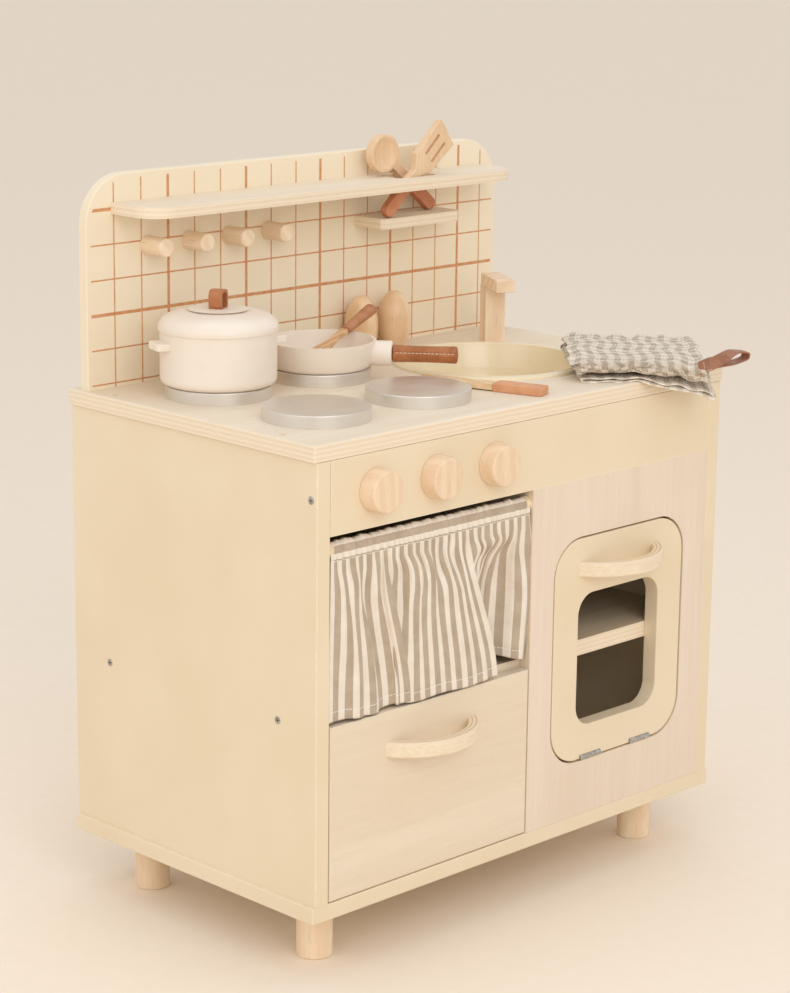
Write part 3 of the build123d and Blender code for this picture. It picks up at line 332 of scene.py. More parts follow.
def moulded_gloss(name, base, shade, gloss=0.16):
    """Glossy moulding: a very slight flow mark, fine scratches and a soft cloudiness."""
    f = Finish(name, roughness=gloss, specular=0.5, coat=0.25)
    clouds = f.noise(f.place, 14.0, 3.0)
    scratch = f.noise(f.stretched("x", 0.03), 500.0, 3.0)
    ripple = f.noise(f.place, 60.0, 2.0)
    colour = f.mix(f.span(clouds, 0.3, 0.7), tone(*shade), tone(*base))
    height = f.math("ADD", ripple, f.math("MULTIPLY", scratch, 0.08))
    return f.finish(colour, height, 0.0001, 0.2, f.span(scratch, 0.3, 0.8, gloss, gloss + 0.14))


def leather(name, light, dark, scale=1.0):
    """Smooth leather: fine pebbled grain in cells, with painted shade darkening the creases between them, and
    a soft sheen.
    """
    f = Finish(name, roughness=0.5, specular=0.4, sheen=0.08)
    cells = f.add("ShaderNodeTexVoronoi", feature="DISTANCE_TO_EDGE")
    f.feed(cells.inputs["Vector"], f.place)
    cells.inputs["Scale"].default_value = 1100.0 * scale
    pebble = f.span(cells.outputs["Distance"], 0.0, 0.25)
    patches = f.noise(f.place, 120.0 * scale, 5.0, 0.6)
    colour = f.mix(f.span(patches, 0.3, 0.72), tone(*dark), tone(*light))
    # Painted shade: the creases between the pebbles are darkened.
    crease_shade = f.math("MULTIPLY", f.math("SUBTRACT", 1.0, pebble), 0.35)
    colour = f.mix(crease_shade, colour, tone(*(int(c * 0.7) for c in dark)))
    height = f.math("ADD", f.math("MULTIPLY", pebble, 0.6), patches)
    return f.finish(colour, height, 0.00018, 0.5, f.span(patches, 0.3, 0.7, 0.6, 0.42))


def dipped_wood(name, grain, heel, up, dip, light=(236, 207, 172), dark=(226, 192, 154)):
    """Pale wood whose lower end is dipped in terracotta paint, up to a line across the handle."""
    f = Finish(name, roughness=0.52, specular=0.35)
    fibre = f.noise(f.stretched(grain, 0.05), 380.0, 4.0, 0.6)
    broad = f.noise(f.stretched(grain, 0.15), 40.0, 3.0)
    share = f.math("ADD", f.math("MULTIPLY", fibre, 0.6), f.math("MULTIPLY", broad, 0.4))
    wood = f.mix(f.span(share, 0.35, 0.65), tone(*dark), tone(*light))
    along = f.vector("DOT_PRODUCT", f.vector("SUBTRACT", f.place, heel), up, out=1)
    line = f.math("ADD", along, f.math("MULTIPLY", f.noise(f.place, 200.0), 0.0008))
    painted = f.span(line, dip, dip + 0.0006, 1.0, 0.0)
    paint = f.mix(f.span(f.noise(f.place, 90.0, 4.0), 0.3, 0.7), tone(192, 124, 88), tone(206, 140, 102))
    colour = f.mix(painted, wood, paint)
    height = f.math("MULTIPLY", fibre, f.math("SUBTRACT", 1.0, f.math("MULTIPLY", painted, 0.7)))
    return f.finish(colour, height, 0.00014, 0.5, f.span(fibre, 0.2, 0.8, 0.58, 0.48))


def flat_terracotta(name, light=(220, 163, 122), dark=(208, 146, 106)):
    """Matt terracotta paint, thin enough for the wood's fibres to show."""
    f = Finish(name, roughness=0.55, specular=0.35)
    patches = f.noise(f.place, 70.0, 5.0)
    fibre = f.noise(f.stretched("y", 0.08), 420.0, 3.0)
    colour = f.mix(f.span(patches, 0.3, 0.7), tone(*dark), tone(*light))
    return f.finish(colour, fibre, 0.0001, 0.4, f.span(patches, 0.2, 0.8, 0.62, 0.5))


# ------------------------------------------------------------------------- clothing the frame
def wear(node, material):
    """Gives a CAD part its finish."""
    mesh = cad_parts[node].data
    mesh.materials.clear()
    mesh.materials.append(material)


for node in ("left_side", "right_side", "divider", "back_panel", "apron", "oven_door", "base_board"):
    wear(node, cream_paint(node))

wear("worktop", washed_ply("worktop"))
wear("rack_shelf", washed_ply("rack_shelf"))
wear("tool_perch", washed_ply("tool_perch"))
for node in ("bay_shelf", "oven_shelf", "drawer_floor"):
    wear(node, washed_ply(node, base=(232, 215, 189), dark=(216, 195, 164)))
wear("drawer_front", washed_ply("drawer_front", "x", "y", (236, 221, 198), (230, 213, 188)))
wear("oven_surround", washed_ply("oven_surround", "z", "y", (235, 219, 200), (229, 211, 190)))
for node, thick in (("drawer_left", "x"), ("drawer_right", "x"), ("drawer_back", "y")):
    grain = "y" if thick == "x" else "x"
    wear(node, washed_ply(node, grain, thick, (232, 214, 186), (214, 192, 160)))
wear("splashback", tiled_print("splashback"))

beech_light = (246, 225, 196)
beech_dark = (239, 212, 178)
for node in ("leg_front_left", "leg_front_right", "leg_rear_left", "leg_rear_right"):
    wear(node, solid_wood("turned_" + node, "z", beech_light, beech_dark, 18.0))
for node in ("knob_left", "knob_middle", "knob_right"):
    wear(node, solid_wood("turned_" + node, "z", (240, 214, 184), (233, 204, 171), 24.0))
wear("wall_pegs", solid_wood("pegs", "y", (247, 227, 200), (239, 214, 182), 26.0))
wear("worktop_plugs", solid_wood("plugs", "x", (228, 208, 180), (212, 188, 156), 40.0))
wear("tap_post", solid_wood("tap_upright", "z", (246, 223, 195), (237, 209, 176), 22.0))
wear("tap_spout", solid_wood("tap_arm", "x", (246, 222, 193), (236, 208, 175), 22.0))
wear("curtain_rod", solid_wood("rod", "x", (236, 206, 164), (222, 184, 138), 40.0))
wear("rod_cups", solid_wood("cups", "x", (240, 222, 190), (230, 204, 166), 40.0))
wear("shaker_left", solid_wood("shaker_a", "z", (240, 206, 164), (224, 184, 140), 15.0, 0.28, 1.3, 0.35))
wear("shaker_right", solid_wood("shaker_b", "z", (246, 214, 174), (230, 192, 150), 13.0, 0.28, 1.3, 0.35))
wear("pan_spatula", solid_wood("spatula_blade", "x", (228, 190, 148), (206, 160, 114), 40.0, 0.5))
wear("spatula_grip", flat_terracotta("spatula_handle", (190, 134, 98), (172, 114, 78)))
wear("knife_blade", solid_wood("knife_wood", "y", (238, 208, 168), (222, 184, 138), 30.0))
wear("knife_haft", flat_terracotta("knife_handle"))

for node in ("door_handle", "drawer_handle"):
    low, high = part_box(node)
    half, out = (high.x - low.x) / 2, high.y - low.y
    outer = (half**2 + out**2) / (2 * out)
    wear(node, bent_ply(node, ((low.x + high.x) / 2, low.y + outer, 0.0), outer))

low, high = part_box("hob_discs")
wear("hob_discs", brushed_silver("disc_silver", (low + high) / 2))
for node in ("side_screws", "hinge_frame_leaves", "hinge_door_leaves", "hinge_pins",
             "knob_screw_left", "knob_screw_middle", "knob_screw_right"):
    wear(node, plain_steel("steel_" + node))
wear("sink_basin", moulded_gloss("sink_gloss", (239, 224, 192), (234, 217, 182)))
for node in ("pot_body", "pot_lugs", "pot_lid", "pan_body"):
    wear(node, satin_enamel("enamel_" + node))
wear("lid_loop", leather("loop_leather", (196, 128, 80), (170, 100, 58), 0.6))

turner_low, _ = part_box("slotted_turner")
spoon_low, spoon_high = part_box("round_spoon")
lean = radians(47)
wear("slotted_turner", dipped_wood(
    "turner_wood", "z", tuple(turner_low), (sin(lean), 0.0, cos(lean)), 38 * mm))
lean = radians(-50)
wear("round_spoon", dipped_wood(
    "spoon_wood", "z", (spoon_high.x, spoon_low.y, spoon_low.z), (sin(lean), 0.0, cos(lean)), 40 * mm))


# ------------------------------------------------------------------------ surfaces
def quad_piece(name, points, quads):
    """A smooth quad mesh, put into the scene."""
    mesh = bpy.data.meshes.new(name)
    mesh.from_pydata(points.reshape(-1, 3), [], quads)
    mesh.polygons.foreach_set("use_smooth", np.ones(len(quads), bool))
    mesh.update()
    piece = bpy.data.objects.new(name, mesh)
    bpy.context.scene.collection.objects.link(piece)
    return piece


def surface(name, points, uv=None, close_rows=False, close_columns=False):
    """A grid of points, rows by columns, as one smooth quad mesh, joined end to end where asked."""
    rows, columns = points.shape[:2]
    index = np.arange(rows * columns).reshape(rows, columns)
    if close_columns:
        index = np.concatenate([index, index[:, :1]], axis=1)
    if close_rows:
        index = np.concatenate([index, index[:1]], axis=0)
    quads = np.stack([index[:-1, :-1], index[1:, :-1], index[1:, 1:], index[:-1, 1:]], axis=-1).reshape(-1, 4)
    piece = quad_piece(name, points, quads)
    if uv is not None:
        layer = piece.data.uv_layers.new(name="cloth")
        layer.data.foreach_set("uv", uv.reshape(-1, 2)[quads.ravel()].astype(np.float32).ravel())
    return piece


def thicken(piece, thickness):
    """Gives a sheet its thickness, half to each side of it."""
    solid = piece.modifiers.new("thickness", "SOLIDIFY")
    solid.thickness = thickness
    solid.offset = 0.0
    solid.use_rim = True
    return piece


def ease(value, low=0.0, high=1.0):
    """Nought below low, one above high, and a smooth cubic between."""
    share = np.clip((value - low) / (high - low), 0, 1)
    return share * share * (3 - 2 * share)


# ------------------------------------------------------------------------ curtain
curtain_wide = 0.372
skirt_long = 0.142
casing_rise = 9.0 * mm
casing_round = 6.0 * mm
casing_long = 2 * casing_rise + pi * casing_round


def curtain_sheet():
    """The gathered curtain.  Each row across the cloth is a line whose heading swings from side to
    side: it turns by a sum of three sine waves, fine gathers under the casing, middling folds
    below them and broad ones at the hem, and its course is the running sum of the heading's
    cosine and sine, so that the cloth keeps its length.  Two laps, each a half turn out and a half
    turn back with more cloth between them the lower the row, part the row into three panels.  The
    swing of each panel is set by halving until it just reaches its edge.  Above the stitching the
    sheet goes once over the rod."""
    rod_low, rod_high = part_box("curtain_rod")
    low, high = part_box("curtain")
    rod = (rod_low + rod_high) / 2
    columns, skirt_rows, casing_rows = 440, 70, 24
    inner = (high.x - low.x) - 2 * mm
    turn = 4.4 * mm
    starts = (0.100, 0.256)
    laps = (0.016, 0.026)
    density = np.linspace(0, 1, 4000)
    crowd = 1 + sum(2.2 * np.exp(-(((density * curtain_wide - e - 0.010) / 0.020) ** 2)) for e in starts)
    share = np.concatenate([[0], np.cumsum((crowd[1:] + crowd[:-1]) / 2)])
    s = np.interp(np.linspace(0, share[-1], columns), share, density * curtain_wide)[None, :]
    step = np.diff(s)
    w = np.linspace(0, 1, skirt_rows)[:, None]
    lap = [width * ease(w, 0.03, 0.95) for width in laps]
    folded, calm = 0.0, 1.0
    for e, width in zip(starts, lap):
        folded = folded + ease(s, e, e + turn) - ease(s, e + width, e + width + turn)
        middle, half = e + width / 2 + turn / 2, width / 2 + 0.010
        calm = calm * (1 - 0.92 * np.exp(-(((s - middle) / half) ** 4)) * ease(w, 0.03, 0.35))

    def wave(length, shift):
        uneven = 0.34 * np.sin(2 * pi * s / 0.171 + shift) + 0.20 * np.sin(2 * pi * s / 0.067 + 2.1 * shift)
        return np.sin(2 * pi * (s / length + uneven) + shift)

    fine = 1.3 * (1 - ease(w, 0.0, 0.40)) + 0.06
    middling = 1.1 * ease(w, 0.0, 0.25) * (1 - 0.85 * ease(w, 0.25, 0.95))
    broad = 0.15 + 1.2 * ease(w, 0.05, 0.6)
    swing = fine * wave(0.0104, 0.4) + middling * wave(0.0240, 1.9) + broad * wave(0.0455, 4.2)
    swing = swing / np.abs(swing).max(axis=1, keepdims=True) * calm

    edges = [
        inner * (0.268 + 0.115 * ease(w, 0.0, 1.0)),
        inner * (0.672 + 0.155 * ease(w, 0.0, 1.05)),
        inner + 6 * mm * np.sin(pi * np.clip(w * 1.05, 0, 1)) ** 1.5,
    ]
    stops = [int(np.searchsorted(s[0], e)) for e in starts] + [columns - 1]

    def total(values):
        middle = (values[:, 1:] + values[:, :-1]) / 2 * step
        return np.concatenate([np.zeros((len(values), 1)), np.cumsum(middle, axis=1)], axis=1)

    x = np.zeros((skirt_rows, columns))
    y = np.zeros((skirt_rows, columns))
    aims = (-3.0 * mm, -4.0 * mm, 4.0 * mm)
    first = 0
    for stop, edge, aim in zip(stops, edges, aims):
        low_share, high_share = np.zeros((skirt_rows, 1)), np.full((skirt_rows, 1), 1.62)
        for _ in range(24):
            middle_share = (low_share + high_share) / 2
            heading = swing * middle_share + pi * folded
            reach = total(np.cos(heading))
            beyond = reach[:, stop:stop + 1] - reach[:, first:first + 1] + x[:, first:first + 1] > edge
            low_share = np.where(beyond, middle_share, low_share)
            high_share = np.where(beyond, high_share, middle_share)
        part = slice(first, stop + 1)
        across, deep = reach[:, part] - reach[:, first:first + 1], total(np.sin(heading))[:, part]
        deep = deep - deep[:, :1]
        lap_clear = 0.02 if first else 0.0
        ramp = ease(s[:, part], s[0, first] + lap_clear, s[0, stop])
        left_over = edge - x[:, first:first + 1] - across[:, -1:]
        drift = aim * ease(w, 0.0, 0.4) - y[:, first:first + 1] - deep[:, -1:]
        free = s[0, stop] - s[0, first] - lap_clear
        linear = np.clip((s[:, part] - s[0, first] - lap_clear) / free, 0, 1)
        x[:, part] = x[:, first:first + 1] + across + left_over * ramp
        y[:, part] = y[:, first:first + 1] + deep + drift * linear
        first = stop
    behind = ease(s, starts[1] + turn + lap[1], starts[1] + turn + lap[1] + 0.022)
    y = y + 9.0 * mm * behind * ease(w, 0.04, 0.5) * (1 - ease(s, curtain_wide - 0.050, curtain_wide))
    lean_out = -4.5 * mm * ease(s, curtain_wide - 0.05, curtain_wide) * np.sin(pi * np.clip(w, 0, 1)) ** 0.5
    y = y + lean_out
    base = rod.y - casing_round - 0.4 * mm + 1.4 * mm * ease(w, 0, 0.8)
    near, far = low.y + 0.8 * mm - base, 14.5 * mm * ease(s, starts[1], starts[1] + 0.03) + 4.5 * mm
    y = y * (0.35 + 0.65 * ease(w, 0.0, 0.28))
    centre, room = (near + far) / 2, (far - near) / 2
    y = centre + room * np.tanh((y - centre) / room * 1.02)
    y_skirt = base + y

    stitch = rod.z - casing_rise
    hem = low.z + 0.4 * mm + 0.9 * mm * (1 + np.sin(2 * pi * s / 0.083 + 0.8))
    raised = ease(s, starts[1] + 0.012, starts[1] + 0.05)
    hem = hem + 13.5 * mm * raised * (1 - 0.45 * ease(s, starts[1] + 0.07, curtain_wide))
    z_skirt = stitch - w * (stitch - hem)

    # The casing: up the back of the rod, over it and down the front to the stitching.
    wrap = casing_round
    c = np.linspace(0, 1, casing_rows)[:, None][:-1]
    run = c * casing_long
    angle = np.clip((run - casing_rise) / wrap, 0, pi)
    up = np.minimum(run, casing_rise) - casing_rise
    down = np.maximum(run - casing_rise - pi * wrap, 0)
    ruffle = 0.42 * mm * wave(0.0104, 0.4) * (0.3 + 0.7 * c) + 0.35 * mm * wave(0.019, 2.0)
    over_rod = np.exp(-(((c - 0.5) / 0.12) ** 2))
    frill = (0.7 * np.abs(wave(0.0135, 1.1)) + 0.5 * wave(0.031, 0.3)) * mm * over_rod
    y_casing = rod.y + (wrap + ruffle) * np.cos(angle)
    y_casing = y_casing + (y_skirt[:1] - (rod.y - wrap)) * ease(c, 0.75, 1.0)
    z_casing = rod.z + (wrap * 0.92 + ruffle) * np.sin(angle) + up - down + frill
    x_casing = np.repeat(x[:1], len(c), axis=0)
    x_all = np.concatenate([x_casing, x]) + low.x + 1.0 * mm
    y_all = np.concatenate([y_casing, y_skirt])
    z_all = np.concatenate([z_casing, z_skirt])

    along = np.concatenate([run[:, 0], casing_long + w[:, 0] * skirt_long])
    uv = np.stack(np.broadcast_arrays(s, along[:, None]), axis=-1)
    return surface("curtain_cloth", np.stack([x_all, y_all, z_all], axis=-1), uv)


def striped_cotton(name, stripe, casing, hem_at):
    """Woven ticking: stripes down the skirt and across the casing, with the weave as fine ribs
    both ways, a row of stitches above the hem and one under the casing."""
    f = Finish(name, roughness=0.9, specular=0.2, sheen=0.25)
    u, v, _ = f.split(f.coords.outputs["UV"])
    fuzzy = f.math("MULTIPLY", f.noise(f.join(u, v, 0.0), 900.0, 3.0), 0.0006)
    ribs = f.math("PINGPONG", f.math("ADD", u, fuzzy), stripe / 2)
    down = f.span(ribs, stripe * 0.225, stripe * 0.225 + 0.0004)
    from_seam = f.math("ADD", f.math("SUBTRACT", casing - 0.0042, v), fuzzy)
    bands = f.math("PINGPONG", from_seam, 0.0057)
    across = f.span(bands, 0.0022, 0.0026)
    in_casing = f.span(v, casing, casing + 0.0003, 1.0, 0.0)
    side_hem = f.span(u, 0.0045, 0.0050)
    beige = f.math("MULTIPLY", f.mix(in_casing, down, across), side_hem)
    tint = f.noise(f.join(u, v, 0.0), 60.0, 4.0)
    white = f.mix(f.span(tint, 0.3, 0.7), tone(236, 223, 207), tone(243, 232, 218))
    sand = f.mix(f.span(tint, 0.3, 0.7), tone(183, 164, 143), tone(195, 177, 156))
    colour = f.mix(beige, white, sand)
    slub = f.span(f.noise(f.join(f.math("MULTIPLY", u, 14.0), v, 0.0), 160.0, 3.0), 0.55, 0.75)
    colour = f.mix(f.math("MULTIPLY", slub, 0.12), colour, tone(168, 150, 128))
    thread_pitch = 0.00075
    thread_u = f.math("SINE", f.math("MULTIPLY", u, 2 * pi / thread_pitch))
    thread_v = f.math("SINE", f.math("MULTIPLY", v, 2 * pi / thread_pitch))
    weave = f.math("ADD", f.math("MULTIPLY", f.math("MULTIPLY", thread_u, thread_v), 0.5), 0.5)
    dash = f.span(f.math("PINGPONG", u, 0.0016), 0.0004, 0.0006)
    from_hem = f.math("ABSOLUTE", f.math("SUBTRACT", v, hem_at))
    from_top = f.math("ABSOLUTE", f.math("SUBTRACT", v, casing))
    nearest = f.math("MINIMUM", from_hem, from_top)
    stitch = f.math("MULTIPLY", f.span(nearest, 0.0003, 0.0005, 1.0, 0.0), dash)
    pucker = f.span(nearest, 0.0, 0.0022)
    colour = f.mix(f.math("MULTIPLY", stitch, 0.8), colour, tone(250, 246, 238))
    below = f.span(v, hem_at, hem_at + 0.0006)
    height = f.math("ADD", f.math("MULTIPLY", weave, 0.22), f.math("MULTIPLY", pucker, 0.8))
    sewn = f.math("ADD", f.math("MULTIPLY", stitch, 0.5), f.math("MULTIPLY", below, 0.5))
    height = f.math("ADD", height, sewn)
    return f.finish(colour, height, 0.0006, 0.6)


curtain = curtain_sheet()
hem_stitches = casing_long + skirt_long - 0.0085
curtain.data.materials.append(striped_cotton("ticking", 0.0150, casing_long, hem_stitches))
thicken(curtain, 0.7 * mm)
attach(curtain, "cabinet")
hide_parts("curtain")


# ------------------------------------------------------------------------ folded cloth
cloth_turn = radians(47)
cloth_layer = 1.9 * mm
cloth_half = 0.1235


def cloth_sheet():
    """The towel folded in six.  It is first folded in two across its width: that pair of layers is
    carried along a path that runs back, turns up through a half circle, runs forward, turns up
    again and runs back.  Each point lies on the path's normal by half a layer, up or down, and the
    fold between the two layers is a half circle.  The pile then sags past the worktop's edges,
    lifts over the sink's rim and ripples along its loose edges."""
    low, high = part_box("cloth")
    top_low, top_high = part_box("worktop")
    rim_low, rim_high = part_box("sink_basin")
    ux, uy = Vector((cos(cloth_turn), sin(cloth_turn))), Vector((-sin(cloth_turn), cos(cloth_turn)))
    corner = (high.x + low.x) / 2, (high.y + low.y) / 2
    half_x = 65.0 * mm
    half_y = 62.0 * mm
    shift = 4.0 * mm
    columns, rows = 132, 216
    bend = cloth_layer * 1.25
    runs = 2 * half_x - 2 * bend
    total = 3 * runs + 2 * pi * bend
    b = np.linspace(0, total, rows)[:, None]

    def leg(start):
        return np.clip(b - start, 0, runs)

    def arc(start):
        return np.clip((b - start) / bend, 0, pi)

    second = runs + pi * bend
    third = 2 * second
    path_x = -half_x + bend + leg(0) + bend * np.sin(arc(runs)) - leg(second)
    path_x = path_x - bend * np.sin(arc(second + runs)) + leg(third)
    path_z = bend * (1 - np.cos(arc(runs))) + bend * (1 - np.cos(arc(second + runs)))
    facing = arc(runs) - arc(second + runs)
    normal_x, normal_z = -np.sin(facing), np.cos(facing)

    a = np.linspace(0, 2 * cloth_half, columns)[None, :]
    radius = cloth_layer / 2
    quarter = pi * radius / 2
    over = np.clip((a - cloth_half + quarter) / radius, 0, pi)
    y = half_y - radius - np.maximum(cloth_half - quarter - a, 0) - np.maximum(a - cloth_half - quarter, 0)
    y = y + radius * np.sin(over)
    side = radius * np.cos(over)
    pass_up = path_z / (4 * bend)

    # Each layer is a little out of true, and its edges ripple.
    slip = 2.6 * mm * np.sin(2 * pi * (y / 0.061 + pass_up * 1.7))
    slip = slip + 1.6 * mm * np.sin(2 * pi * (y / 0.027 + pass_up * 2.3 + side * 260))
    x = path_x + normal_x * side + slip * (0.4 + 0.6 * np.abs(path_x) / half_x)
    y = y + 1.8 * mm * np.sin(2 * pi * (path_x / 0.055 + pass_up * 1.3 + side * 200))
    y = y + 5 * mm * (0.5 - pass_up) * np.sin(pi * path_x / 0.11) - 4.5 * mm * (1 - pass_up)
    x = x - (3.6 * (1 - pass_up) - 1300 * side) * mm * ease(-path_x, half_x - 0.022, half_x)
    near_ends = ease(np.abs(path_x), half_x - 0.016, half_x)
    near_edge = np.maximum(near_ends, ease(np.abs(y), half_y - 0.016, half_y))
    ripple = np.sin(2 * pi * (y / 0.021 + pass_up * 1.9))
    ripple = ripple + 0.7 * np.sin(2 * pi * (path_x / 0.026 + pass_up * 0.7 + 0.2))
    puff = 1 - ((path_x / half_x) ** 2 + (y / half_y) ** 2) / 2
    gape = np.sin(2 * pi * (y / 0.034 + 0.35 * np.round(pass_up * 2) + 0.23 * np.sign(side)))
    z = path_z * 1.42 + normal_z * side * (1.3 + 0.7 * near_edge * gape)
    z = z + near_edge * ripple * 0.9 * mm * (0.35 + pass_up)
    swell = 0.9 * mm * pass_up * np.sin(2 * pi * (path_x + 0.7 * y) / 0.033)
    z = z + swell * np.sin(2 * pi * (y - 0.5 * path_x) / 0.047)
    billow = 1.0 * mm * np.sin(2 * pi * (y / 0.085 + 0.1)) * np.sin(2 * pi * path_x / 0.13)
    z = z + pass_up * (2.6 * mm * puff + billow)
    z = z + 1.1 * mm * near_edge * pass_up

    world_x = corner[0] + ux[0] * x + uy[0] * (y + shift)
    world_y = corner[1] + ux[1] * x + uy[1] * (y + shift)
    floor = top_high.z + 1.9 * mm
    rim = rim_high.z - top_high.z + 0.9 * mm
    middle = (rim_low + rim_high) / 2
    reach = (rim_high.x - rim_low.x) / 2
    from_sink = np.hypot(world_x - middle.x, world_y - middle.y)
    lift = rim * (1 - ease(from_sink, reach - 0.001, reach + 0.020))
    past = np.hypot(np.maximum(top_low.y - world_y, 0), np.maximum(world_x - top_high.x, 0))
    sag = (15.0 - 9.0 * pass_up) * mm * (past / 0.046) ** 1.4
    world_z = floor + z + lift * (1 - 0.35 * pass_up) - sag
    uv = np.stack(np.broadcast_arrays(a, b), axis=-1)
    points = np.stack(np.broadcast_arrays(world_x, world_y, world_z), axis=-1)
    piece = surface("folded_towel", points, uv)
    return piece, (2 * cloth_half, total)


def waffle_check(name):
    """Checked waffle cloth: squares of beige where both sets of dyed threads cross, half tones
    where one does, and a raised honeycomb of ribs over it all, its hollows darkened with painted shade."""
    f = Finish(name, roughness=0.95, specular=0.15, sheen=0.3)
    u, v, _ = f.split(f.coords.outputs["UV"])
    drift = f.math("MULTIPLY", f.noise(f.join(u, v, 0.0), 60.0, 2.0), 0.0009)
    pitch = 0.0122

    def dyed(measure):
        across = f.math("PINGPONG", f.math("ADD", measure, drift), pitch / 2)
        return f.span(across, pitch * 0.22, pitch * 0.29)

    both = f.math("ADD", f.math("MULTIPLY", dyed(u), 0.5), f.math("MULTIPLY", dyed(v), 0.5))
    light = f.mix(f.span(both, 0.0, 0.5, smooth=False), tone(243, 233, 218), tone(221, 206, 186))
    colour = f.mix(f.span(both, 0.5, 1.0, smooth=False), light, tone(183, 166, 145))
    flecks = f.noise(f.join(u, v, 0.0), 1400.0, 3.0)
    colour = f.mix(f.span(flecks, 0.45, 0.8, 0.0, 0.3), colour, tone(244, 234, 220))
    cell = 0.0033

    def rib(measure):
        moved = f.math("ADD", measure, f.math("MULTIPLY", drift, 0.4))
        return f.span(f.math("PINGPONG", moved, cell / 2), 0.0, cell * 0.38)

    hollow = f.math("MULTIPLY", rib(u), rib(v))
    height = f.math("ADD", f.math("SUBTRACT", 1.0, hollow), f.math("MULTIPLY", flecks, 0.35))
    # Painted shade: the hollows of the honeycomb are darkened.
    colour = f.mix(f.math("MULTIPLY", hollow, 0.14), colour, tone(150, 132, 110))
    return f.finish(colour, height, 0.0011, 0.75)


towel, towel_flat = cloth_sheet()
towel.data.materials.append(waffle_check("waffle"))
thicken(towel, 1.25 * mm)
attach(towel, "cloth")
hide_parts("cloth")


# ------------------------------------------------------------------------ leather pieces
def tab_line():
    """Where the tab's sewn end starts, the level way it runs, the way to its side, and its length."""
    low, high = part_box("cloth_tab")
    level = (low.z + high.z) / 2
    start = np.array([low.x + 2 * mm, low.y + 5.5 * mm, level])
    end = np.array([high.x - 3 * mm, high.y - 6.5 * mm, level])
    length = np.linalg.norm(end - start)
    along = (end - start) / length
    return start, along, np.array([-along[1], along[0], 0.0]), length


def towel_tab():
    """The towel's leather tab: a closed strap whose line is a long drop, pinched at its sewn end
    and round at the other.  Its width turns from upright at the sewn end to level at the loop."""
    start, along, aside, length = tab_line()
    up = np.array([0.0, 0.0, 1.0])
    t = np.linspace(0, 2 * pi, 160, endpoint=False)[:, None]
    run = length * (1 - np.cos(t)) / 2
    share = run / length
    sine = np.sin(t)
    open_by = 4.4 * mm * sine * ease(share, 0.12, 0.75)
    open_by = open_by + 1.25 * mm * np.sign(sine) * ease(np.abs(sine), 0, 0.25)
    arch = 2.0 * mm * np.sin(pi * share) + 1.8 * mm * share
    turn = radians(74) * (1 - ease(share, 0.10, 0.85)) + radians(6)
    width = 11.5 * mm - 2.5 * mm * ease(share, 0.2, 0.9)
    w = np.linspace(-0.5, 0.5, 13)[None, :]
    across = aside[None, None] * np.cos(turn)[..., None] + up[None, None] * np.sin(turn)[..., None]
    lift = -aside[None, None] * np.sin(turn)[..., None] + up[None, None] * np.cos(turn)[..., None]
    line = start[None, None] + along[None, None] * run[..., None] + up[None, None] * arch[..., None]
    points = line + lift * open_by[..., None] + across * (w * width)[..., None]
    cup = 0.5 * mm * (1 - (2 * w) ** 2)
    points = points + lift * (cup * np.sign(sine + 1e-9))[..., None]
    return surface("towel_tab", points, close_rows=True)


tab = towel_tab()
tab.data.materials.append(leather("tab_leather", (180, 124, 94), (154, 100, 74), 0.6))
thicken(tab, 1.5 * mm)
bevel = tab.modifiers.new("edges", "BEVEL")
bevel.width = 0.35 * mm
bevel.segments = 2
bevel.angle_limit = radians(50)
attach(tab, "cloth")
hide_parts("cloth_tab")


def tab_stitches():
    """White stitches down the tab's sewn end and back along its lower edge, on the outer face."""
    start, along, aside, _ = tab_line()
    up = np.array([0.0, 0.0, 1.0])
    tilt = radians(80)
    across = aside * cos(tilt) + up * sin(tilt)
    out = up * cos(tilt) - aside * sin(tilt)
    down_end = np.linspace(-4.0, 4.0, 5)[:, None] * mm * across + 2.6 * mm * along
    back = np.linspace(4.4, 13.0, 5)[:, None] * mm * along - 4.0 * mm * across
    back = back + np.linspace(0, 0.9, 5)[:, None] * mm * up
    places = start + np.concatenate([down_end, back]) + 2.35 * mm * out
    ways = np.concatenate([np.repeat(across[None], 5, 0), np.repeat(along[None], 5, 0)])
    return bead_row("tab_stitches", places, ways, np.repeat(out[None], 10, 0), 1.5 * mm, 0.32 * mm)


def frame_along(way):
    """Two directions square to a way, the second as upright as can be."""
    way = way / np.linalg.norm(way)
    side = np.cross(way, [0.0, 0.0, 1.0])
    side = side / np.linalg.norm(side)
    return way, side, np.cross(side, way)


def grip_line():
    """Where the pan's leather grip starts and ends: it leaves the pan's middle at fifty degrees
    to the right of straight ahead, level."""
    low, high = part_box("pan_body")
    grip_low, grip_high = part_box("pan_grip")
    turn = radians(-50)
    way = np.array([cos(turn), sin(turn), 0.0])
    centre = np.array([low.x + 51 * mm, high.y - 51 * mm, (grip_low.z + grip_high.z) / 2])
    return centre + way * 66 * mm, way, 60 * mm


seam_angle = 0.26


